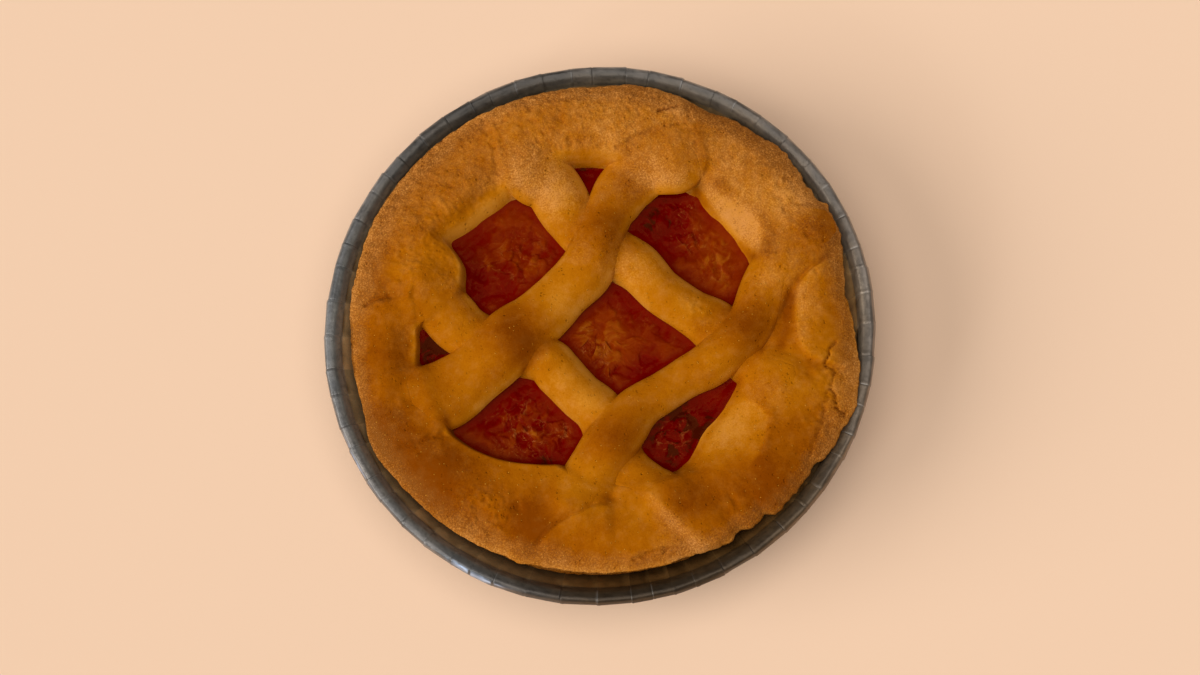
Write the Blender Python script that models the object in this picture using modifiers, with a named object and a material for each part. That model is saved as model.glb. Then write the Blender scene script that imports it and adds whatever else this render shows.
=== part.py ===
"""Apricot tart with a woven pastry top, in its own pleated foil case.

Metres, +Z up. The origin is the middle of the case's base, on the table.
Seven pieces: the foil case, the pastry shell with its folded rim, the apricot
jam that fills the shell, and the four pastry strips of the top.
"""
import math

import bmesh
import bpy
from mathutils import Vector

MM = 0.001

# Driving dimensions, in millimetres.
CASE_OUTER_R = 55.0
CASE_HEIGHT = 21.5
CASE_BASE_R = 41.0
CASE_WALL_T = 0.5
ROLL_R = 2.0
PLEATS = 58
PLEAT_DEPTH = 0.34

SHELL_R = 50.0
SHELL_SHIFT = (0.96, 0.47)
SHELL_BASE_T = 2.5
LIP_UNDER_Z = 19.3
LIP_INNER_R = 35.6
FIT = 0.3

JAM_TOP_Z = 18.9
JAM_LUMP = 0.45

STRIP_H_TO_W = 0.36
STRIP_UNDER_Z = 18.5
STRIP_END_LIFT = 3.7
OVER_LIFT = 3.9
UNDER_DROP = 0.9
STRIP_STEPS = 27

# Each strip: middle line as (x, y, width), from one end to the other.
STRIP_LINES = {
    "strip_over_upper": (
        (-40.7, -19.4, 10.5), (-34.8, -14.9, 14.5), (-25.2, -10.3, 13.2),
        (-15.7, -1.9, 13.0), (-10.8, 2.2, 11.7), (-6.2, 6.6, 11.5),
        (-1.1, 12.1, 12.2), (1.8, 21.8, 10.5), (3.4, 25.5, 11.2),
        (5.9, 29.6, 12.0), (9.8, 33.2, 12.4), (15.4, 33.9, 12.8)),
    "strip_over_lower": (
        (-5.7, -37.4, 10.0), (-2.7, -31.6, 11.4), (3.0, -22.7, 11.5),
        (7.9, -16.9, 9.6), (13.2, -13.2, 8.6), (17.8, -10.4, 8.6),
        (23.3, -7.6, 9.3), (30.1, 0.0, 10.0), (33.8, 8.1, 9.4),
        (36.8, 13.4, 10.6), (41.6, 18.2, 9.0)),
    "strip_under_upper": (
        (-20.2, 39.6, 10.5), (-14.7, 35.6, 12.0), (-9.5, 29.1, 12.0),
        (-5.8, 23.3, 11.4), (0.3, 17.2, 10.5), (7.2, 12.2, 10.0),
        (12.1, 7.1, 9.9), (17.8, 3.0, 9.0), (23.7, 0.0, 9.4),
        (30.4, -7.6, 9.6), (38.4, -12.9, 9.4)),
    "strip_under_lower": (
        (-41.7, 10.6, 9.5), (-35.7, 9.1, 11.0), (-30.4, 4.1, 12.0),
        (-26.1, -0.5, 11.0), (-17.7, -4.4, 10.8), (-10.9, -6.6, 10.8),
        (-7.8, -9.3, 9.9), (-3.9, -13.6, 10.0), (0.7, -17.7, 10.4),
        (4.8, -27.4, 10.8), (8.9, -32.1, 10.3), (14.0, -34.3, 10.4),
        (20.0, -38.4, 10.0)),
}

# Where one strip passes over another: (over, under, x, y, spread in mm).
CROSSINGS = (
    ("strip_over_upper", "strip_under_upper", 0.3, 17.3, 10.5),
    ("strip_over_upper", "strip_under_lower", -18.0, -4.2, 13.0),
    ("strip_over_lower", "strip_under_upper", 27.2, -3.5, 10.5),
    ("strip_over_lower", "strip_under_lower", 3.0, -22.6, 12.5),
)

# Uneven plan of the shell: (angle in degrees, spread in degrees, millimetres out).
EDGE_BUMPS = (
    (7, 8, -1.2), (28, 8, 0.7), (63, 8, -1.1), (91, 15, -0.6), (118, 15, 0.5),
    (193, 8, -0.7), (208, 8, 0.8), (262, 20, -0.9), (293, 8, -0.9), (339, 13, 1.0))
# Inner edge of the rim: (angle, spread, millimetres inwards).
INNER_LOBES = (
    (35, 26, 2.9), (98, 12, 1.9), (136, 22, 2.2), (252, 17, 5.6),
    (228, 14, 1.2), (322, 24, 6.6), (293, 14, 3.2))
# Folds on the rim: (angle, radius, spread in degrees, spread in mm, height in mm).
RIM_FOLDS = (
    (352, 44, 12, 4.5, 0.9), (330, 42, 15, 5, 0.7), (262, 42, 13, 4, 0.8),
    (186, 42, 14, 4, 0.6), (228, 42, 12, 5, 0.7), (128, 42, 22, 5, 0.6),
    (98, 42, 9, 4, -0.5), (62, 44, 10, 4, 0.6), (24, 40, 9, 4, 0.5),
    (284, 44, 5, 5, -0.7), (150, 45, 8, 4, -0.4), (310, 46, 6, 3, -0.6))

CASE_STEPS = 2 * PLEATS
SHELL_STEPS = 88
JAM_STEPS = 60


def clear_scene():
    """Start from an empty scene."""
    for obj in list(bpy.data.objects):
        bpy.data.objects.remove(obj, do_unlink=True)
    for coll in list(bpy.data.collections):
        bpy.data.collections.remove(coll)


def make_collection(name):
    coll = bpy.data.collections.new(name)
    bpy.context.scene.collection.children.link(coll)
    return coll


def make_material(name, colour, roughness, metallic):
    mat = bpy.data.materials.new(name)
    mat.use_nodes = True
    shader = mat.node_tree.nodes["Principled BSDF"]
    shader.inputs["Base Color"].default_value = (*colour, 1.0)
    shader.inputs["Roughness"].default_value = roughness
    shader.inputs["Metallic"].default_value = metallic
    mat.diffuse_color = (*colour, 1.0)
    return mat


def gauss(value, spread):
    return math.exp(-(value / spread) ** 2)


def angle_gap(a, b):
    """Signed difference of two angles in degrees, within a half turn."""
    return (a - b + 180.0) % 360.0 - 180.0


def smooth_step(value, low, high):
    t = min(max((value - low) / (high - low), 0.0), 1.0)
    return t * t * (3.0 - 2.0 * t)


def baked_object(name, obj, coll):
    """Replace an object by its finished mesh, with modifiers applied."""
    graph = bpy.context.evaluated_depsgraph_get()
    mesh = bpy.data.meshes.new_from_object(obj.evaluated_get(graph))
    mesh.name = name
    matrix = obj.matrix_world.copy()
    bpy.data.objects.remove(obj, do_unlink=True)
    done = bpy.data.objects.new(name, mesh)
    done.matrix_world = matrix
    coll.objects.link(done)
    return done


def turned(name, profile, steps, coll):
    """Turn a profile of (radius, z) in millimetres once around Z."""
    mesh = bpy.data.meshes.new(name + "_profile")
    points = [(r * MM, 0.0, z * MM) for r, z in profile]
    edges = [(i, i + 1) for i in range(len(points) - 1)]
    mesh.from_pydata(points, edges, [])
    obj = bpy.data.objects.new(name + "_turned", mesh)
    coll.objects.link(obj)
    screw = obj.modifiers.new("turn", "SCREW")
    screw.axis = "Z"
    screw.angle = 2.0 * math.pi
    screw.steps = steps
    screw.render_steps = steps
    screw.use_merge_vertices = True
    screw.merge_threshold = 0.00005
    screw.use_normal_calculate = True
    bpy.context.view_layer.update()
    done = baked_object(name, obj, coll)
    face_out(done.data)
    return done


def face_out(mesh):
    """Weld doubled points and turn every face outwards."""
    bm = bmesh.new()
    bm.from_mesh(mesh)
    bmesh.ops.remove_doubles(bm, verts=bm.verts, dist=0.00002)
    bmesh.ops.recalc_face_normals(bm, faces=bm.faces)
    bm.to_mesh(mesh)
    bm.free()


def move_points(obj, rule):
    """Move every point of an object by a rule on (angle, radius, z) in mm."""
    for vert in obj.data.vertices:
        x, y, z = (c / MM for c in vert.co)
        radius = math.hypot(x, y)
        if radius < 1.0:
            continue
        angle = math.degrees(math.atan2(y, x))
        radius, z = rule(angle, radius, z)
        rad = math.radians(angle)
        vert.co = Vector((radius * math.cos(rad), radius * math.sin(rad), z)) * MM


# ---------------------------------------------------------------- foil case

def case_wall_r(z):
    """Inner radius of the case's sloping wall at height z."""
    top_r = CASE_OUTER_R - 2.0 * ROLL_R - 1.6
    top_z = CASE_HEIGHT - 2.0 * ROLL_R - 1.0
    low_r = CASE_BASE_R - CASE_WALL_T
    return low_r + (top_r - low_r) * (z - 1.0) / (top_z - 1.0)


def case_profile():
    """Closed section: up the inside, over the rolled rim, down the outside."""
    t = CASE_WALL_T
    zs = (1.0, 6.0, 11.0, 16.5)
    inside = [(0.0, t), (CASE_BASE_R - 1.6, t)]
    inside += [(case_wall_r(z), z) for z in zs]
    roll = []
    cr, cz = CASE_OUTER_R - ROLL_R, CASE_HEIGHT - ROLL_R
    for deg in (185, 140, 95, 50, 5, -40, -85, -125):
        rad = math.radians(deg)
        roll.append((cr + ROLL_R * math.cos(rad), cz + ROLL_R * math.sin(rad)))
    outside = [(case_wall_r(z) + t * 1.15, z) for z in reversed(zs[1:])]
    outside += [(CASE_BASE_R + 0.15, 0.75), (CASE_BASE_R - 0.7, 0.0), (0.0, 0.0)]
    return inside + roll + outside


def pleat_rule(angle, radius, z):
    """Fold the wall in and out, and nick the rolled rim at every pleat."""
    step = round(angle / 360.0 * CASE_STEPS)
    side = 1.0 if step % 2 == 0 else -1.0
    on_wall = smooth_step(z, 0.9, 7.0) * (1.0 - smooth_step(radius, 49.9, 51.2))
    on_roll = smooth_step(radius, 51.2, 52.5)
    radius += side * PLEAT_DEPTH * on_wall
    radius -= (0.12 if side < 0 else 0.0) * on_roll
    return radius, z


def make_case(coll, mat):
    case = turned("foil_case", case_profile(), CASE_STEPS, coll)
    move_points(case, pleat_rule)
    case.data.materials.append(mat)
    return case


# ------------------------------------------------------------- pastry shell

def shell_outline_r(angle):
    """Outer radius of the shell's lip about the case's middle."""
    rad = math.radians(angle)
    radius = SHELL_R + SHELL_SHIFT[0] * math.cos(rad) + SHELL_SHIFT[1] * math.sin(rad)
    return radius + sum(h * gauss(angle_gap(angle, a), w) for a, w, h in EDGE_BUMPS)


def lip_inner_r(angle):
    """Inner radius of the folded rim, with its lobes."""
    return LIP_INNER_R - sum(h * gauss(angle_gap(angle, a), w) for a, w, h in INNER_LOBES)


def shell_profile():
    """Closed section: up the inside, over the folded rim, down the outside."""
    base = CASE_WALL_T + FIT + 0.1
    wall_gap = FIT + PLEAT_DEPTH + 0.15
    floor = base + SHELL_BASE_T
    inside = [(0.0, floor), (36.2, floor), (38.4, floor + 1.6), (44.4, 17.0), (44.4, LIP_UNDER_Z)]
    lip = [(40.0, LIP_UNDER_Z), (36.8, LIP_UNDER_Z + 0.2), (35.6, 20.6), (35.8, 22.1), (37.3, 23.4),
           (40.2, 24.4), (43.5, 24.8), (46.6, 24.4), (48.8, 23.4), (50.0, 22.2), (49.6, 20.9)]
    outside = [(48.5, 18.6)]
    outside += [(case_wall_r(z) - wall_gap, z) for z in (16.0, 2.6)]
    outside += [(CASE_BASE_R - 2.6, base), (0.0, base)]
    return inside + lip + outside


def shell_rule(angle, radius, z):
    """Give the turned lip its uneven plan, lobes and folds."""
    if radius < 35.0 or z < 19.0 or (radius > 42.0 and z < LIP_UNDER_Z + 0.05):
        return radius, z
    outer = shell_outline_r(angle)
    inner = lip_inner_r(angle)
    share = (radius - LIP_INNER_R) / (SHELL_R - LIP_INNER_R)
    moved = inner + share * (outer - inner)
    on_lip = smooth_step(z, 19.0, 19.2) * smooth_step(share, -0.1, 0.02)
    if radius > 47.0:
        on_lip *= smooth_step(z, 18.4, 21.6)
    radius += (moved - radius) * on_lip
    high = smooth_step(z, 20.0, 23.0)
    for fold_a, fold_r, wide, deep, lift in RIM_FOLDS:
        z += high * lift * gauss(angle_gap(angle, fold_a), wide) * gauss(radius - fold_r, deep)
    return radius, z


def make_shell(coll, mat):
    shell = turned("pastry_shell", shell_profile(), SHELL_STEPS, coll)
    move_points(shell, shell_rule)
    shell.data.materials.append(mat)
    return shell


# --------------------------------------------------------------- apricot jam

def jam_profile():
    """Closed section of the jam: over its top, then down its side."""
    floor = CASE_WALL_T + FIT + 0.1 + SHELL_BASE_T + FIT
    edge = 44.4 - FIT - 0.1
    top = [(0.0, JAM_TOP_Z)] + [(r, JAM_TOP_Z) for r in (7, 14, 21, 28, 34, 39)]
    return top + [(edge, JAM_TOP_Z), (edge, 17.0), (38.0, floor + 1.6), (35.9, floor), (0.0, floor)]


def jam_rule(angle, radius, z):
    """Lumps in the jam's top, only ever downwards from its full height."""
    if z < JAM_TOP_Z - 0.1 or radius > 43.0:
        return radius, z
    rad = math.radians(angle)
    x, y = radius * math.cos(rad), radius * math.sin(rad)
    wave = math.sin(0.31 * x + 0.7) * math.sin(0.27 * y - 0.4) + 0.5 * math.sin(0.5 * x - 0.4 * y)
    return radius, z - JAM_LUMP * (0.75 + 0.5 * wave)


def make_jam(coll, mat):
    jam = turned("apricot_jam", jam_profile(), JAM_STEPS, coll)
    move_points(jam, jam_rule)
    jam.data.materials.append(mat)
    return jam


# ------------------------------------------------------------- pastry strips

def spline_at(points, t):
    """Catmull-Rom value at t from 0 to 1 over a row of tuples."""
    last = len(points) - 1
    place = min(t * last, last - 1e-9)
    i = int(place)
    f = place - i
    p = [points[max(min(i + k, last), 0)] for k in (-1, 0, 1, 2)]
    out = []
    for a, b, c, d in zip(*p):
        out.append(0.5 * (2 * b + (c - a) * f + (2 * a - 5 * b + 4 * c - d) * f * f
                          + (3 * b - a - 3 * c + d) * f ** 3))
    return out


def strip_middle_z(name, x, y, width):
    """Height of a strip's middle: sags on the jam, climbs the rim and crossings."""
    z = STRIP_UNDER_Z + 0.5 * STRIP_H_TO_W * width
    z += STRIP_END_LIFT * smooth_step(math.hypot(x, y), 30.0, 39.0)
    for over, under, cx, cy, spread in CROSSINGS:
        near = gauss(math.hypot(x - cx, y - cy), spread)
        if name == over:
            z += OVER_LIFT * near
        if name == under:
            z -= UNDER_DROP * near
    return z


def strip_section(coll):
    """Pillow-shaped section, half a millimetre per unit of width kept by radius."""
    curve = bpy.data.curves.new("strip_section", "CURVE")
    curve.dimensions = "2D"
    spline = curve.splines.new("POLY")
    count = 14
    spline.points.add(count - 1)
    for i in range(count):
        a = 2.0 * math.pi * (i + 0.5) / count
        px = math.copysign(abs(math.cos(a)) ** 0.75, math.cos(a)) * 0.5
        py = math.copysign(abs(math.sin(a)) ** 0.85, math.sin(a)) * 0.5 * STRIP_H_TO_W
        spline.points[i].co = (px * MM, py * MM, 0.0, 1.0)
    spline.use_cyclic_u = True
    section = bpy.data.objects.new("strip_section", curve)
    coll.objects.link(section)
    return section


def make_strip(name, section, coll, mat):
    """Sweep the section along the strip's middle line and cap both ends."""
    line = STRIP_LINES[name]
    curve = bpy.data.curves.new(name + "_line", "CURVE")
    curve.dimensions = "3D"
    curve.twist_mode = "Z_UP"
    curve.bevel_mode = "OBJECT"
    curve.bevel_object = section
    curve.use_fill_caps = True
    spline = curve.splines.new("POLY")
    spline.points.add(STRIP_STEPS - 1)
    for i in range(STRIP_STEPS):
        t = i / (STRIP_STEPS - 1)
        x, y, width = spline_at(line, t)
        end = min(t, 1.0 - t) * (STRIP_STEPS - 1)
        taper = (0.62, 0.9)[int(end + 0.5)] if end < 1.5 else 1.0
        spline.points[i].co = (x * MM, y * MM, strip_middle_z(name, x, y, width) * MM, 1.0)
        spline.points[i].radius = width * taper
    obj = bpy.data.objects.new(name + "_sweep", curve)
    coll.objects.link(obj)
    bpy.context.view_layer.update()
    strip = baked_object(name, obj, coll)
    face_out(strip.data)
    strip.data.materials.clear()
    strip.data.materials.append(mat)
    return strip


def swollen_copy(obj, grow, coll):
    """A cutter: the object's mesh pushed out along its normals."""
    cutter = bpy.data.objects.new(obj.name + "_cutter", obj.data.copy())
    coll.objects.link(cutter)
    bm = bmesh.new()
    bm.from_mesh(cutter.data)
    bm.normal_update()
    moves = [(v, v.normal * grow * MM * v.calc_shell_factor()) for v in bm.verts]
    for vert, move in moves:
        vert.co += move
    bm.to_mesh(cutter.data)
    bm.free()
    cutter.hide_render = True
    cutter.display_type = "WIRE"
    return cutter


def cut_away(target, cutters, coll):
    """Cut the target with each cutter and keep the finished mesh."""
    name = target.name
    mats = list(target.data.materials)
    target.name = name + "_whole"
    for cutter in cutters:
        mod = target.modifiers.new(cutter.name, "BOOLEAN")
        mod.operation = "DIFFERENCE"
        mod.solver = "EXACT"
        mod.object = cutter
    bpy.context.view_layer.update()
    done = baked_object(name, target, coll)
    done.data.materials.clear()
    for mat in mats:
        done.data.materials.append(mat)
    return done


def keep_largest(obj):
    """Drop loose chips that a cut may leave beside the main body."""
    bm = bmesh.new()
    bm.from_mesh(obj.data)
    left = set(bm.verts)
    islands = []
    while left:
        stack = [left.pop()]
        island = [stack[0]]
        while stack:
            for edge in stack.pop().link_edges:
                for vert in edge.verts:
                    if vert in left:
                        left.discard(vert)
                        island.append(vert)
                        stack.append(vert)
        islands.append(island)
    islands.sort(key=len)
    for island in islands[:-1]:
        bmesh.ops.delete(bm, geom=island, context="VERTS")
    bmesh.ops.dissolve_degenerate(bm, dist=0.00001, edges=bm.edges)
    bm.to_mesh(obj.data)
    bm.free()


def build():
    clear_scene()
    parts = make_collection("apricot_tart")
    cutters = make_collection("cutters")
    foil = make_material("foil", (0.42, 0.44, 0.47), 0.34, 1.0)
    crust = make_material("crust", (0.52, 0.24, 0.055), 0.82, 0.0)
    pastry = make_material("strip_pastry", (0.55, 0.25, 0.05), 0.78, 0.0)
    filling = make_material("apricot", (0.30, 0.045, 0.006), 0.18, 0.0)

    make_case(parts, foil)
    make_jam(parts, filling)
    make_shell(parts, crust)
    section = strip_section(cutters)
    strips = [make_strip(name, section, parts, pastry) for name in STRIP_LINES]
    knives = [swollen_copy(strip, FIT + 0.06, cutters) for strip in strips]
    bpy.data.objects.remove(section, do_unlink=True)
    shell = cut_away(bpy.data.objects["pastry_shell"], knives, parts)
    keep_largest(shell)
    jam = cut_away(bpy.data.objects["apricot_jam"], knives, parts)
    keep_largest(jam)


build()
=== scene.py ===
# Apricot tart with a woven pastry top, in its pleated foil case.
# The shapes are worked out in millimetres and put into the meshes in metres.
import math

import bmesh
import bpy
import numpy as np
from mathutils import Matrix, Vector


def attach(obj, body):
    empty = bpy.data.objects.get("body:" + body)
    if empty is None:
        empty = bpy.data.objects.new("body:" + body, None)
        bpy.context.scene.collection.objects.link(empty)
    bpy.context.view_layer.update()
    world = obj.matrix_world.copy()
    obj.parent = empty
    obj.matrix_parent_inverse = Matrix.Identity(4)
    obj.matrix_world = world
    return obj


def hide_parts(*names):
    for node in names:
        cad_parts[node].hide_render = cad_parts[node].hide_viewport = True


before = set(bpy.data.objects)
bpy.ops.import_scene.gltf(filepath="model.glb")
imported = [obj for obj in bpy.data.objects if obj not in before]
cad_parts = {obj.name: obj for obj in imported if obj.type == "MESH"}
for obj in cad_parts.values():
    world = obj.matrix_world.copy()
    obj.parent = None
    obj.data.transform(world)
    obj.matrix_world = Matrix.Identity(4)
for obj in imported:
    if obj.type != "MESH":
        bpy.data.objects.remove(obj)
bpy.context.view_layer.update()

mm = 0.001
neighbours = [(i, j) for i in (-1, 0, 1) for j in (-1, 0, 1)]    # a square and the eight round it
print("tart: frame loaded")


def smoothStep(value, low, high):
    # rises from 0 at low to 1 at high, flat at both ends: t*t*(3 - 2t)
    t = np.clip((value - low) / (high - low), 0.0, 1.0)
    return t * t * (3.0 - 2.0 * t)


def bell(value, spread):
    # bell curve exp(-(value / spread)^2): 1 at nothing, about a third at the spread
    return np.exp(-(value / spread) ** 2)


def polar(x, y):
    # distance from the middle, and bearing in degrees from 0 to 360
    return np.hypot(x, y), np.degrees(np.arctan2(y, x)) % 360


def noiseLayer(x, y, size, seed):
    # one layer of noise: random numbers at the corners of squares, blended between by 6t^5 - 15t^4 + 10t^3
    table = np.random.default_rng(seed).random((128, 128)) * 2.0 - 1.0
    u, v = x / size + 37.3, y / size + 51.7    # moved, so that the middle of the tart isn't on a corner
    column, row = np.floor(u).astype(int), np.floor(v).astype(int)
    u, v = (t * t * t * (t * (t * 6 - 15) + 10) for t in (u - column, v - row))
    nearLow, farLow = table[column % 128, row % 128], table[(column + 1) % 128, row % 128]
    nearHigh, farHigh = table[column % 128, (row + 1) % 128], table[(column + 1) % 128, (row + 1) % 128]
    return (nearLow * (1 - u) + farLow * u) * (1 - v) + (nearHigh * (1 - u) + farHigh * u) * v


def noise(x, y, size, seed, layers=3, gain=0.5):
    # layers of noise added up, each finer, weaker and turned a little against the last
    total, weight, angle = 0.0, 1.0, 0.6
    for layer in range(layers):
        c, s = math.cos(angle * (layer + 1)), math.sin(angle * (layer + 1))
        fine = noiseLayer(c * x - s * y, s * x + c * y, size * 0.5 ** layer, seed + 11 * layer)
        total = total + weight * fine
        weight *= gain
    return total


def patches(x, y, size, seed, share, soft):
    # flat random patches with soft borders: each point takes 1 or 0 from its nearest scattered seed, 1 for
    # the given share of seeds, and blends with the second nearest where both are about as near
    jitterX, jitterY, value = np.random.default_rng(seed).random((3, 64, 64))
    u, v = x / size + 20.0, y / size + 20.0
    column, row = np.floor(u).astype(int), np.floor(v).astype(int)
    first, second = np.full(x.shape, 9.0), np.full(x.shape, 9.0)
    own, other = np.zeros(x.shape), np.zeros(x.shape)
    for i, j in neighbours:
        a, b = (column + i) % 64, (row + j) % 64
        d = np.hypot(column + i + jitterX[a, b] - u, row + j + jitterY[a, b] - v)
        flag = smoothStep(value[a, b], 0.9 - share, 1.1 - share)
        closer = d < first
        nextBest = ~closer & (d < second)
        other = np.where(closer, own, np.where(nextBest, flag, other))
        second = np.where(closer, first, np.where(nextBest, d, second))
        own = np.where(closer, flag, own)
        first = np.where(closer, d, first)
    weight = 0.5 + 0.5 * smoothStep((second - first) * size, 0.0, soft)
    return own * weight + other * (1 - weight)


def spot(x, y, cx, cy, radius):
    # a round bell about one point: exp(-(distance / radius)^2)
    return np.exp(-((x - cx) ** 2 + (y - cy) ** 2) / radius ** 2)


def addSpots(x, y, spots):
    # the sum of named round spots (x, y, radius, amount)
    return sum(amount * spot(x, y, cx, cy, radius) for cx, cy, radius, amount in spots.values())


def strongestSpot(x, y, spots):
    # at each point the strongest of named round spots (x, y, radius, share)
    return np.max([share * spot(x, y, cx, cy, radius) for cx, cy, radius, share in spots.values()], axis=0)


def addLumps(x, y, lumps):
    # the sum of named bells (x, y, half length, half width, turn, height): height * exp(-u^2 - v^2), where
    # u and v are the turned distances in half lengths and half widths
    total = np.zeros(x.shape)
    for cx, cy, long, wide, turn, height in lumps.values():
        c, s = math.cos(math.radians(turn)), math.sin(math.radians(turn))
        u, v = ((x - cx) * c + (y - cy) * s) / long, (-(x - cx) * s + (y - cy) * c) / wide
        total += height * np.exp(-u * u - v * v)
    return total


def splineRow(points, count):
    # smooth curve through a row of points, read at even steps: one cubic between each two points, which
    # leaves every point in the direction from the point before it to the one after it
    p = np.asarray(points, float)
    p = np.vstack([2 * p[0] - p[1], p, 2 * p[-1] - p[-2]])
    last = len(p) - 3
    t = np.linspace(0, last, count)
    i = np.minimum(t.astype(int), last - 1)
    f = (t - i)[:, None]
    a, b, c, d = p[i], p[i + 1], p[i + 2], p[i + 3]
    square = 2 * a - 5 * b + 4 * c - d
    cube = 3 * b - a - 3 * c + d
    return 0.5 * (2 * b + (c - a) * f + square * f ** 2 + cube * f ** 3)


def lineDistance(x, y, points):
    # distance to points joined by straight lines, its side (1 on the left) and the share along the row
    p = np.asarray(points, float)
    best = np.full(x.shape, 1e9)
    side, share = np.zeros(x.shape), np.zeros(x.shape)
    for k in range(len(p) - 1):
        ax, ay = p[k]
        ex, ey = p[k + 1] - p[k]
        t = np.clip(((x - ax) * ex + (y - ay) * ey) / (ex * ex + ey * ey), 0, 1)
        dx, dy = x - ax - t * ex, y - ay - t * ey
        d = np.hypot(dx, dy)
        near = d < best
        best = np.where(near, d, best)
        side = np.where(near, np.sign(ex * dy - ey * dx), side)
        share = np.where(near, (k + t) / (len(p) - 1), share)
    return best, side, share


def aroundTable(rows, degrees, blur):
    # reads a table of (angle, values...) all the way round: straight lines between rows, blurred by a bell
    rows = np.asarray(sorted(rows), float)
    reach, step = 20, 0.5
    fine = np.arange(0, 360, step)
    kernel = bell(np.arange(-reach, reach + 1) * step, blur)
    kernel /= kernel.sum()
    values = []
    for column in rows.T[1:]:
        line = np.interp(fine, rows[:, 0], column, period=360)
        line = np.convolve(np.concatenate([line[-reach:], line, line[:reach]]), kernel, "valid")
        values.append(np.interp(degrees % 360, fine, line, period=360))
    return values


def ring(radius, height, a):
    # one more column of a grid whose rows run round the tart: a level circle
    radius = np.broadcast_to(radius, a.shape)
    return np.stack([radius * np.cos(a), radius * np.sin(a), np.full(a.shape, height)], axis=-1)


def widened(values, extra):
    # a table of values with one more column for each number in extra
    return np.concatenate([values, np.tile(np.asarray(extra, float), (len(values), 1))], axis=1)


def gridPiece(name, points, material, body="root", closeRows=False, closeColumns=False, attributes=None):
    # one mesh from a grid of points (rows x columns x 3, in mm); doubled points at seams and poles are merged
    rows, columns = points.shape[:2]
    ids = np.arange(rows * columns).reshape(rows, columns)
    nextRow = np.roll(ids, -1, axis=0) if closeRows else ids[1:]
    thisRow = ids if closeRows else ids[:-1]
    corners = [thisRow, nextRow, np.roll(nextRow, -1, axis=1), np.roll(thisRow, -1, axis=1)]
    quads = np.stack(corners, axis=-1)
    if not closeColumns:
        quads = quads[:, :-1]
    quads = quads.reshape(-1, 4)
    mesh = bpy.data.meshes.new(name)
    mesh.vertices.add(rows * columns)
    mesh.vertices.foreach_set("co", (points.reshape(-1, 3) * mm).ravel())
    mesh.loops.add(quads.size)
    mesh.loops.foreach_set("vertex_index", quads.ravel())
    mesh.polygons.add(len(quads))
    mesh.polygons.foreach_set("loop_start", np.arange(0, quads.size, 4))
    mesh.update(calc_edges=True)
    for label, values in (attributes or {}).items():
        layer = mesh.attributes.new(label, "FLOAT", "POINT")
        layer.data.foreach_set("value", np.ascontiguousarray(values, dtype=np.float32).ravel())
    bm = bmesh.new()
    bm.from_mesh(mesh)
    bmesh.ops.remove_doubles(bm, verts=bm.verts, dist=0.000002)
    bmesh.ops.recalc_face_normals(bm, faces=bm.faces)
    bm.to_mesh(mesh)
    bm.free()
    mesh.polygons.foreach_set("use_smooth", np.ones(len(mesh.polygons), bool))
    mesh.materials.append(material)
    piece = bpy.data.objects.new(name, mesh)
    bpy.context.scene.collection.objects.link(piece)
    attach(piece, body)
    return piece


# Materials. Each of these helpers adds a node and gives back its output, which can be the next one's input.

def newMaterial(name):
    # a new material, its nodes and its shader
    material = bpy.data.materials.new(name)
    material.use_nodes = True
    return material, material.node_tree, material.node_tree.nodes["Principled BSDF"]


def fillInputs(tree, node, inputs):
    # links an input to another node's output, or sets it to a plain value
    for key, source in inputs.items():
        if isinstance(source, bpy.types.NodeSocket):
            tree.links.new(source, node.inputs[key])
        else:
            node.inputs[key].default_value = source


def addNode(tree, kind, inputs, **settings):
    # one node with its settings and inputs
    node = tree.nodes.new("ShaderNode" + kind)
    for key, value in settings.items():
        setattr(node, key, value)
    fillInputs(tree, node, inputs)
    return node


def carried(tree, label):
    # a value that the mesh carries at its points
    return addNode(tree, "Attribute", {}, attribute_name=label).outputs["Fac"]


def calculate(tree, operation, first, second, clamp=False):
    # one step of arithmetic
    return addNode(tree, "Math", {0: first, 1: second}, operation=operation, use_clamp=clamp).outputs[0]


def plus(tree, first, second, clamp=False):
    # first + second
    return calculate(tree, "ADD", first, second, clamp)


def times(tree, first, second, clamp=False):
    # first * second
    return calculate(tree, "MULTIPLY", first, second, clamp)


def mapped(tree, value, low, high, start=0.0, end=1.0):
    # low to high turned into start to end, and held beyond them
    inputs = {"Value": value, "From Min": low, "From Max": high, "To Min": start, "To Max": end}
    return addNode(tree, "MapRange", inputs).outputs["Result"]


def mixed(tree, share, first, second, way="MIX"):
    # first * (1 - share) + second * share, or first * second for MULTIPLY
    node = addNode(tree, "Mix", {0: share, 6: first, 7: second}, data_type="RGBA", blend_type=way)
    return node.outputs[2]


def cloudy(tree, place, scale, detail, roughness=0.5, distortion=0.0):
    # a noise texture; scale is in lumps per metre
    return addNode(tree, "TexNoise", {
        "Vector": place, "Scale": scale, "Detail": detail, "Roughness": roughness, "Distortion": distortion})


def cellular(tree, place, size):
    # a texture of scattered points, as far apart as size in mm, and the first of each point's random numbers
    node = addNode(tree, "TexVoronoi", {"Vector": place, "Scale": 1000 / size})
    return node.outputs["Distance"], addNode(tree, "SeparateColor", {0: node.outputs["Color"]}).outputs["Red"]


def colourRamp(tree, value, stops, colours):
    # a colour picked by a value from colours that stand at their stops
    ramp = addNode(tree, "ValToRGB", {0: value})
    while len(ramp.color_ramp.elements) < len(stops):
        ramp.color_ramp.elements.new(0.5)
    for element, stop, colour in zip(ramp.color_ramp.elements, stops, colours):
        element.position = stop
        element.color = colour
    return ramp.outputs["Color"]


def screenColour(red, green, blue):
    # a colour given as screen values 0-255, turned into the linear values that nodes use
    linear = [((c / 255 + 0.055) / 1.055) ** 2.4 if c > 10 else c / 255 / 12.92 for c in (red, green, blue)]
    return (*linear, 1.0)


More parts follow.
